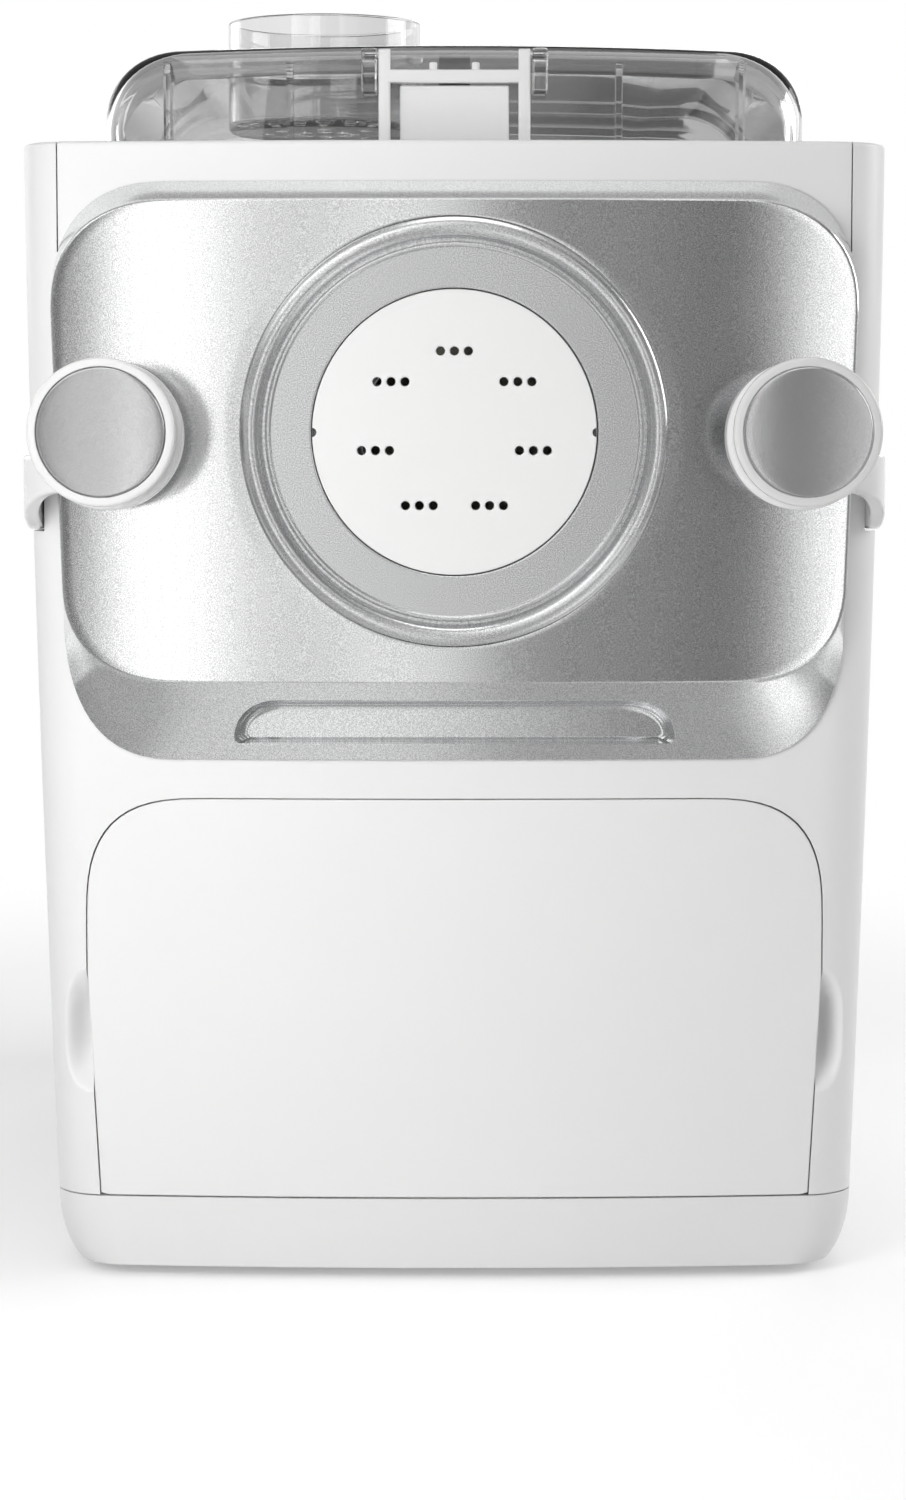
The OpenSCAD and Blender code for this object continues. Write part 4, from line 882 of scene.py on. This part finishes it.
def plate(name, outlines, thick, edge, place):
    """A flat plate with holes: the first outline less the others, its edges rounded, and each point put by place."""
    curve = bpy.data.curves.new(name, "CURVE")
    curve.dimensions = "2D"
    curve.fill_mode = "BOTH"
    curve.extrude = (thick / 2 - edge) * MM
    curve.bevel_depth = edge * MM
    curve.bevel_resolution = 2
    curve.offset = -edge * MM
    for outline in outlines:
        spline = curve.splines.new("POLY")
        spline.points.add(len(outline) - 1)
        for point, (u, v) in zip(spline.points, outline):
            point.co = (u * MM, v * MM, 0, 1)
        spline.use_cyclic_u = True
    made = bpy.data.objects.new(name, curve)
    bpy.context.collection.objects.link(made)
    mesh = final_mesh(made)
    bpy.data.objects.remove(made)
    bpy.data.curves.remove(curve)
    points = [place(v.co.x / MM, v.co.y / MM, v.co.z / MM) for v in mesh.vertices]
    faces = [tuple(p.vertices) for p in mesh.polygons]
    bpy.data.meshes.remove(mesh)
    return solid(name, points, faces)


holes = [ring_of(hole_r, (x + k * hole_pitch, z), 20)
         for x, z in arc((0, 0), cluster_r, quarter, quarter + math.tau, cluster_count)[:-1] for k in (-1, 0, 1)]
food_white = plastic("food_white", (0.85, 0.85, 0.843), 0.42, grain=0.35, relief=0.02)
shaping_disc = plate("shaping_disc_visual", [ring_of(disc_r, steps=160)] + holes, disc_t - 0.1, 0.35,
                     lambda u, v, w: (u, y_face + disc_t / 2 - 0.3 - w, axis_z + v))
cut(shaping_disc, *mirrored(lambda side: rod("Y", (side * disc_r, y_face, axis_z), notch_r, -disc_t + 1, past, 32)))
dress(shaping_disc, food_white, "root", "food_white", "shaping_disc")

# ---------------- drawer
# A storage drawer under the panel. Its white front follows the bow of the body and closes flush with
# it, with a thin seam all round. The tray behind it slides on two runners.
drawer_white = plastic("drawer_white", (0.87, 0.87, 0.868), 0.33)
drawer_middle = (0, 74)
drawer_edge = 0.45
back_edge = 0.6
drawer_grow = 0.12  # how far the front reaches into the seam round it
rim = on_spokes(drawer_outline(drawer_grow), drawer_middle)


def inward(points, amount):
    """An outline moved towards the drawer's middle by an amount."""
    moved = []
    for x, z in points:
        ray = Vector((x - drawer_middle[0], z - drawer_middle[1]))
        ray = ray * (1 - amount / ray.length)
        moved.append((drawer_middle[0] + ray.x, drawer_middle[1] + ray.y))
    return moved


drawer_rings = [at_y(inward(rim, back_edge), front_back), at_y(rim, front_back - back_edge)]
drawer_rings += [on_front(inward(rim, drawer_edge * (1 - c)), -drawer_edge * (1 - s))
                 for c, s in quarter_round]
drawer_rings += [on_front(inward(between(rim, [drawer_middle] * spokes, share), drawer_edge / 2), 0)
                 for share in spread(0, 1, 14)[1:-1]]
drawer_rings.append(on_front([drawer_middle] * spokes, 0))
dress(loft("drawer_front_visual", drawer_rings), drawer_white, "drawer", "drawer_white", "drawer_front")

# ---------------- clamp arms
# A gloss white strap on each side, hinged on an upright pin. It runs forward in its slot, sweeps up
# round the corner and ends in the boss that the clamp's spindle turns in.
knob_x = 90.6
arm_y1 = y_face - 6
arm_y0 = arm_y1 - arm_t
bend_r = 18.0
arm_dip = 10.5
dip_len = 29.0
boss_r = 19.6
boss_z = axis_z - 0.8
boss_y = arm_y0 - 6.5
spindle_r = 4.0
gloss_white = plastic("arm_white", (0.84, 0.84, 0.838), 0.16, grain=0.6, relief=0.003, coat=0.35)


def pin_profile(radius, start, end, edges, steps):
    """The profile of a turned pin with its two edges rounded."""
    return rounded([(0, start), (radius, start), (radius, end), (0, end)], [0, *edges, 0], steps)


def clamp_arm(side):
    """One arm: the strap swept along its path, with its barrel and its boss joined on."""
    bend = (arm_out - arm_t - bend_r, arm_y1 + bend_r)
    radius = bend_r + arm_t / 2
    stations = [((knob_x, bend[1] - radius), (0, -1))]
    stations += zip(arc(bend, radius, -quarter, 0, 24), arc((0, 0), 1, -quarter, 0, 24))
    stations += [((arm_out - arm_t / 2, y), (1, 0)) for y in spread(bend[1], pin_y, 16)[1:]]
    rings = []
    for (x, y), (nx, ny) in stations:
        share = min(1.0, max(0.0, (y - arm_y0 - 2) / dip_len))
        low = arm_z + arm_dip * (1 + math.cos(math.pi * share)) / 2
        section = rounded(oblong(-arm_t / 2, arm_t / 2, low, arm_z + arm_h), 1.3, 5)
        rings.append([(side * (x + nx * t), y + ny * t, z) for t, z in section])
    barrel = turned("barrel", pin_profile(barrel_r, arm_z, arm_z + arm_h, (0.8, 0.8), 4), (side * pin_x, pin_y, 0), "Z")
    boss = turned("boss", pin_profile(boss_r, 0, arm_y1 - boss_y, (1.6, 1.6), 6), (side * knob_x, arm_y1, boss_z))
    return cut(join(loft("clamp_arm", rings), barrel, boss),
               rod("Y", (side * knob_x, 0, axis_z), spindle_r + 0.05, -arm_y1 - 9, -boss_y + 9, 48),
               rod("Z", (side * pin_x, pin_y, 0), pin_r + 0.05, arm_z - 1, arm_z + arm_h + 1, 32))


hands = ((-1, "left"), (1, "right"))
for side, hand in hands:
    arm = clamp_arm(side)
    arm.name = "arm_" + hand + "_visual"
    dress(arm, gloss_white, "arm_" + hand, "arm_white", "arm_" + hand)
    arm.visible_glossy = side < 0  # on the right its image would be a bright patch in the dark of the panel

# ---------------- clamp knobs
# Each knob is a gloss white drum with a rounded rim round a slightly dished satin silver cap, which is
# pressed in and hides the end of the spindle.
knob_r = 19.1
cap_r = 16.5
knob_y1 = -189.7
knob_len = 15.0
knob_taper = 3.6
cap_y = -203.3
cap_h = 1.7
cap_dish = 0.95
knob_profile = rounded([(0, 0), (knob_r - knob_taper, 0), (knob_r, knob_len - knob_taper), (knob_r, knob_len),
                        (cap_r + 0.2, knob_len), (cap_r + 0.2, knob_len - 1.5), (0, knob_len - 1.5)],
                       [0, 1.2, 3, 1.5, 0.4, 0, 0], 8)
cap_profile = [(0, 0), (cap_r - 0.3, 0), (cap_r, 0.3), (cap_r, 1.35), (cap_r - 0.12, 1.6), (cap_r - 0.4, cap_h)]
cap_profile += [(r, cap_h - cap_dish * (1 - (r / cap_r) ** 2)) for r in (cap_r - 0.9, 14, 12, 10, 8, 6, 4, 2, 0)]
knob_white = plastic("knob_white", (0.75, 0.75, 0.748), 0.2, grain=0.6, relief=0.003, coat=0.3)
cap_silver = metallic("cap_silver", (0.62, 0.62, 0.625), 0.22, 0.25, 0.08, 0.015, 0.92)
for side, hand in hands:
    knob = turned("knob_" + hand + "_visual", knob_profile, (side * knob_x, knob_y1, axis_z), steps=128)
    dress(knob, knob_white, "knob_" + hand, "knob_white", "knob_" + hand)
    knob.visible_glossy = side < 0  # as for the arms
    cap = turned("cap_" + hand + "_visual", cap_profile, (side * knob_x, cap_y, axis_z), steps=128)
    dress(cap, cap_silver, "knob_" + hand, "cap_silver", "cap_" + hand)

# ---------------- lid and liquid inlet
# The clear lid is one deep moulding with ribs behind its front wall, ears for the latch and two hinge
# knuckles at the back. The round cup that liquid is poured into drops through a hole in its top.
lid_half = 96.5
lid_y0 = -126.0
lid_y1 = 70.0
lid_z0 = deck_z + 0.3
lid_z1 = deck_z + 27.8
lid_crown = 1.5
lid_rx = 22.0
lid_rz = 20.0
lid_edge = 8.0
lid_crease = math.radians(36)
lid_draw, lid_drop = 2.9, 6.4  # how far the rounded edges come in at the sides and down from the top
lid_wall = 2.0
lid_ribs = ((45.5, 8.0), (79.4, 13.0))  # their distance from the middle, and how far they run back
rib_t = 1.8
inlet_x = -37.8
inlet_y = -61.0
inlet_r = 28.4
inlet_wall = 1.8
inlet_z0 = deck_z + 9.8
inlet_rim = 350.0
inlet_lip = 3.0
inlet_lip_t = 1.2
strainer_r = (8, 17)
strainer_hole_r = 2.0
latch_y = lid_y0 - 7
latch_z = deck_z + 25
latch_x = (17.5, 20.8)
latch_pin_r = 0.9
ear_x = (latch_x[1] + 0.4, 25.5)


def clear_plastic(name, tint_and_shade, ripple):
    """Clear moulded plastic: smooth, with a very faint long ripple and dust-fine scuffs, in a grey that on the lid is
    painted shade.
    """
    material, paint = new_material(name)
    wave = paint.place().noise(14.0, 1.0)
    principled(paint, {
        "Base Color": wave.blend(rgb(tint_and_shade - 0.015), rgb(tint_and_shade + 0.015)), "Transmission Weight": 1.0, "IOR": 1.49,
        "Roughness": 0.012 + paint.place().noise(420.0, 3.0).above(0.62, 0.8) * 0.05,
        "Normal": raised(paint, wave, 0.5, ripple)})
    return material


def lid_form(name, inset, z0):
    """The lid's form, moved inward. Its front and back walls meet the rounded edges in a soft crease."""
    ends = [(lid_edge * (math.cos(lid_crease) - c), (1 - s) / (1 - math.sin(lid_crease)))
            for c, s in arc((0, 0), 1, lid_crease, quarter, 8)]
    rings = []
    for y, drop in ([(lid_y0 + inset + back, drop) for back, drop in ends]
                    + [(lid_y1 - inset - back, drop) for back, drop in reversed(ends)]):
        x, z = lid_half - inset - lid_draw * drop, lid_z1 - inset - lid_drop * drop
        crown = [((x - lid_rx) * u, z + lid_crown * (1 - u * u)) for u in spread(1, -1, 12)[1:-1]]
        rings.append(at_y([(-x, z0), (x, z0)] + shoulders(x, z, lid_rx, lid_rz, 2.15, crown), y))
    return loft(name, rings)


def latch_bore(x0, x1):
    """The bore for a latch pin."""
    return rod("X", (0, latch_y, latch_z), latch_pin_r + 0.05, x0, x1, 32)


# The lid's grey of 0.68 is painted shade: it is much darker than clear plastic and stands in for the unlit chamber seen
# through it.
clear_lid = clear_plastic("clear_lid", 0.68, 0.03)
lid = cut(lid_form("lid_visual", 0, lid_z0), lid_form("lid_hollow", lid_wall, lid_z0 - past))
for side in (-1, 1):
    join(lid, *[block(side * x - rib_t / 2, side * x + rib_t / 2, lid_y0 + 1, lid_y0 + 1 + depth, lid_z0, lid_z1 - 4)
                for x, depth in lid_ribs],
         block(side * ear_x[0], side * ear_x[1], latch_y - 2.4, lid_y0 + 1, latch_z - 10, latch_z + 2, 0.8),
         hinge_lug(side * knuckle_x[0], side * knuckle_x[1], lid_y1 - 1.5, hinge_y, hinge_z - 3.3, hinge_z + hinge_r))
    cut(lid, rod("X", (0, hinge_y, hinge_z), hinge_pin_r + 0.05, side * (knuckle_x[0] - 1), side * (knuckle_x[1] + 1),
                 32), latch_bore(side * latch_x[1], side * (ear_x[1] - 1)))
cut(lid, rod("Z", (inlet_x, inlet_y, 0), inlet_r + 0.3, lid_z1 - 10, lid_z1 + past, 128))
dress(lid, clear_lid, "lid", "clear_plastic", "lid")

flange_z = lid_z1 + lid_crown + 0.1
cup = rounded([(0, inlet_z0), (inlet_r, inlet_z0), (inlet_r, flange_z), (inlet_r + inlet_lip, flange_z),
               (inlet_r + inlet_lip, flange_z + inlet_lip_t), (inlet_r, flange_z + inlet_lip_t), (inlet_r, inlet_rim),
               (inlet_r - inlet_wall, inlet_rim), (inlet_r - inlet_wall, inlet_z0 + 2), (0, inlet_z0 + 2)],
              [0, 2, 0.2, 0.5, 0.5, 0.4, 0.7, 0.7, 1.2, 0], 5)
clear_cup = clear_plastic("clear_cup", 0.82, 0.02)
inlet = turned("liquid_inlet_visual", cup, (inlet_x, inlet_y, 0), "Z", 144)
cut(inlet, *[rod("Z", (x, y, 0), strainer_hole_r, inlet_z0 - 1, inlet_z0 + 3, 24)
             for radius in strainer_r for x, y in ring_of(radius, (inlet_x, inlet_y), 8)])
dress(inlet, clear_cup, "lid", "clear_plastic", "liquid_inlet")
inlet.visible_shadow = False

# ---------------- lid latch and its post
# A gloss white frame swings on two pins in the lid's ears. Its two pegs stand on the cross bar, and it
# rests in front of a white post that is screwed to the deck.
leg_r = 1.9
latch_bar_z = (deck_z + 17.7, deck_z + 21.2)
peg_x = 5.8
peg_r = 1.1
peg_z = (deck_z + 20, deck_z + 23.3)
latch_white = plastic("latch_white", (0.88, 0.88, 0.878), 0.2, grain=0.6, relief=0.004, coat=0.25)
latch = bar(latch_x[0] + 1, latch_y - 2, latch_y + 1.6, *latch_bar_z, 0.6)
for side in (-1, 1):
    ends = sorted((side * latch_x[0], side * latch_x[1]))
    join(latch, block(*ends, latch_y - leg_r, latch_y + leg_r, deck_z + 1.3, latch_z, 0.7),
         turned("barrel", pin_profile(leg_r, *ends, (0.4, 0.4), 3), (0, latch_y, latch_z), "X", 48),
         turned("peg", pin_profile(peg_r, *peg_z, (0, 0.5), 4), (side * peg_x, latch_y, 0), "Z", 32))
    cut(latch, latch_bore(ends[0] - 1, ends[1] + 1))
latch.name = "lid_latch_visual"
dress(latch, latch_white, "latch", "latch_white", "lid_latch")

post_half = 15.0
post_y1 = latch_y + 5.5
post_h = 17.3
latch_post = join(bar(post_half, post_y1 - 3, post_y1, deck_z, deck_z + post_h, 0.5),
                  bar(post_half, latch_y - 6, post_y1, deck_z, deck_z + 1.6, 0.5))
latch_post.name = "latch_post_visual"
dress(latch_post, deck_white, "root", "deck_white", "latch_post")

# ---------------- control panel
# A satin silver plate let into the deck behind the lid, with three push buttons and a black display
# window. It is held from below by four posts on the control board.
button_y = control_y[0] + 18
button_r = 7.0
button_pitch = 42.0
window_half = 35.85
window_y = (138.15, 169.85)
window_gap = 0.15
control_plate_t = 2.6
control_gap = 0.3
control_post_x = 58.0
control_post_r = 3.0
control_silver = metallic("control_silver", (0.56, 0.57, 0.58), 0.34, 0.3, 0.10, 0.02)
control_outline = rounded(oblong(control_gap - control_half, control_half - control_gap, control_y[0] + control_gap,
                                 control_y[1] - control_gap), 1.5)
control_panel = plate("control_panel_visual",
                      [control_outline] + [ring_of(button_r + 0.3, (k * button_pitch, button_y), 48)
                                           for k in (-1, 0, 1)],
                      control_plate_t, 0.3, lambda u, v, w: (u, v, control_top - control_plate_t / 2 + w))
cut(control_panel, bar(window_half + window_gap, window_y[0] - window_gap, window_y[1] + window_gap,
                       control_top - 1.4, control_top + 1))
join(control_panel, *[rod("Z", (side * control_post_x, y, 0), control_post_r, control_top - 9.8, control_top - 2, 32)
                      for side in (-1, 1) for y in (control_y[0] + 9, control_y[1] - 9)])
dress(control_panel, control_silver, "root", "control_silver", "control_panel")

window_black, paint = new_material("window_black")
smudge = paint.place().noise(60.0, 4.0)
principled(paint, {"Base Color": smudge.blend(rgb(0.010, 0.011, 0.013), rgb(0.016, 0.017, 0.020)),
                   "Roughness": 0.05 + smudge.above(0.5, 0.8) * 0.1, "IOR": 1.5, "Normal": soft_edges(paint, 0.3)})


def finish_nodes(material, *names):
    """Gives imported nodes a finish. They keep their body, their place and their mesh."""
    for name in names:
        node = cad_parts[name]
        if not node.material_slots:
            node.data.materials.append(material)
        for held in node.material_slots:
            held.material = material


finish_nodes(window_black, "display_window")
button_grey = plastic("button_grey", (0.42, 0.43, 0.44), 0.42, grain=0.3, relief=0.02)
button_top = control_top + 0.4
skirt_z = control_top - control_plate_t - 0.35 - button_top
button_profile = rounded([(0, skirt_z - 1), (button_r + 1.2, skirt_z - 1), (button_r + 1.2, skirt_z),
                          (button_r, skirt_z), (button_r, 0), (button_r - 2.2, -0.3), (0, -0.5)],
                         [0, 0.3, 0.3, 0, 0.45, 0.8, 0], 4)
for k, name in ((-1, "power_button"), (0, "program_button"), (1, "start_button")):
    button = turned(name + "_visual", button_profile, (k * button_pitch, button_y, button_top), "Z", 64)
    dress(button, button_grey, name, "button_grey", name)

# ---------------- rear cover and gland
# A flat white cover with rows of rounded vent slots closes the back. Four screws hold it, and the mains
# lead's gland comes out at its lower corner.
rear_white = plastic("rear_white", (0.84, 0.84, 0.838), 0.4, grain=0.35, relief=0.02)
vent_half = 50.0
vent_r = 2.0
vent_pitch = 9.0
vent_top = 41.7  # the first long vent, below the cover's top
vent_low = 51.7  # the first short vent, above the cover's foot
vent_short = 20.0
gland_x = 60.0
gland_z = 62.3
gland_r = 7.7
cover_screw_r = 1.8
cover_screw_z = 19.7


def slot_outline(x0, x1, z):
    """A vent slot with round ends, as an outline in X and Z."""
    return (arc((x1 - vent_r, z), vent_r, -quarter, quarter, 8)
            + arc((x0 + vent_r, z), vent_r, quarter, 3 * quarter, 8))


rear_lo, rear_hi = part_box("rear_cover")
cover_x = rear_hi.x / MM
cover_z0 = rear_lo.z / MM
cover_z1 = rear_hi.z / MM
cover_outlines = [rounded(oblong(-cover_x, cover_x, cover_z0, cover_z1), 1.0)]
cover_outlines += [slot_outline(-vent_half, vent_half, cover_z1 - vent_top - vent_pitch * i) for i in range(11)]
cover_outlines += [slot_outline(-vent_half, vent_short, cover_z0 + vent_low + vent_pitch * i) for i in range(5)]
cover_outlines += [ring_of(gland_r, (gland_x, gland_z), 48)]
cover_outlines += [ring_of(cover_screw_r, (side * (cover_x - 1.3), z), 24)
                   for side in (-1, 1) for z in (cover_z0 + cover_screw_z, cover_z1 - cover_screw_z)]
rear_cover = plate("rear_cover_visual", cover_outlines, rear_t, 0.4,
                   lambda u, v, w: (u, y_back - rear_t / 2 + w, v))
dress(rear_cover, rear_white, "root", "shell_white", "rear_cover")
finish_nodes(rear_white, "cable_gland")

# ---------------- mixing and kneading parts
# Inside are the white food-grade parts: chamber, paddle, auger and the tube that leads to the disc,
# with soft grey seals between them. They lift out to be washed.
finish_nodes(food_white, "mixing_chamber", "extrusion_tube", "mixing_paddle", "drawer_tray")


def soft_rubber(name, colour, roughness):
    """Moulded rubber: matt, with a dusty bloom."""
    material, paint = new_material(name)
    bloom = paint.place().noise(70.0, 5.0)
    principled(paint, {"Base Color": bloom.blend(rgb(colour * 0.8), rgb(colour * 1.25)),
                       "Roughness": roughness + (bloom - 0.5) * 0.15,
                       "Normal": raised(paint, bloom, 0.5, 0.03, 0.4)})
    return material


dark_rubber = soft_rubber("dark_rubber", 0.045, 0.7)
seal_rubber = soft_rubber("seal_rubber", 0.55, 0.5)
finish_nodes(dark_rubber, "rubber_feet", "shaft_seal", "clamp_pad_left", "clamp_pad_right")
finish_nodes(seal_rubber, "tube_gasket", "lid_seal")

# ---------------- drive and fixings
# The motor, its two-stage gear train between steel plates, and the pins and screws that hold the
# machine together. Turned parts show fine rings and sheet parts a rolled grain.
def worked_metal(name, colour, roughness, stretch, relief):
    """Bare metal with the fine marks of its making, drawn out along one axis by stretch."""
    material, paint = new_material(name)
    marks = paint.node("VectorMath", {"operation": "MULTIPLY"}, {0: paint.place(), 1: stretch}).noise(900.0, 3.0)
    low, high = [rgb(*[min(1, c * share) for c in colour]) for share in (0.88, 1.08)]
    principled(paint, {"Base Color": paint.place().noise(30.0, 3.0).blend(low, high), "Metallic": 1.0,
                       "Roughness": roughness + (marks - 0.5) * 0.2,
                       "Normal": raised(paint, marks, 0.4, relief, 0.25)})
    return material


turned_steel = worked_metal("turned_steel", (0.58, 0.58, 0.59), 0.25, (0.15, 1.0, 0.15), 0.02)
rolled_steel = worked_metal("rolled_steel", (0.50, 0.51, 0.53), 0.38, (1.0, 0.3, 0.06), 0.02)
sintered_bronze = worked_metal("sintered_bronze", (0.62, 0.44, 0.22), 0.45, (1.0, 1.0, 1.0), 0.04)
finish_nodes(turned_steel, "base_screws", "rear_cover_screws", "drive_shaft", "layshaft", "gearbox_spacers",
             "motor_shaft", "lid_hinge_pins", "latch_pins", "arm_pins", "spindle_left", "spindle_right")
finish_nodes(rolled_steel, "gearbox_front_plate", "gearbox_rear_plate", "motor_can")
finish_nodes(sintered_bronze, "shaft_bearings", "motor_pinion")
gear_nylon = plastic("gear_nylon", (0.80, 0.78, 0.70), 0.45, grain=0.5, relief=0.02, blotch=0.02)
finish_nodes(gear_nylon, "output_gear", "lay_gear", "auger", "chassis_plate", "drawer_runners")
dark_plastic = plastic("dark_plastic", (0.035, 0.036, 0.04), 0.45, grain=0.4, relief=0.02, blotch=0.006)
finish_nodes(dark_plastic, "motor_fan", "interlock_tab")

# ---------------- circuit boards
# Two green boards: the display board under the control panel and the power board on the chassis. A
# lacquer covers the copper tracks.
board_green, paint = new_material("board_green")
tracks = paint.node("TexBrick", {"offset": 0.5}, {"Vector": paint.place(), "Scale": 130.0, "Mortar Size": 0.03},
                    out="Fac")
principled(paint, {"Base Color": tracks.blend(rgb(0.01, 0.10, 0.035), rgb(0.02, 0.19, 0.07)),
                   "Roughness": 0.3 + tracks * 0.1, "Coat Weight": 0.4, "Normal": raised(paint, tracks, 0.4, 0.05)})
finish_nodes(board_green, "control_board", "power_board")
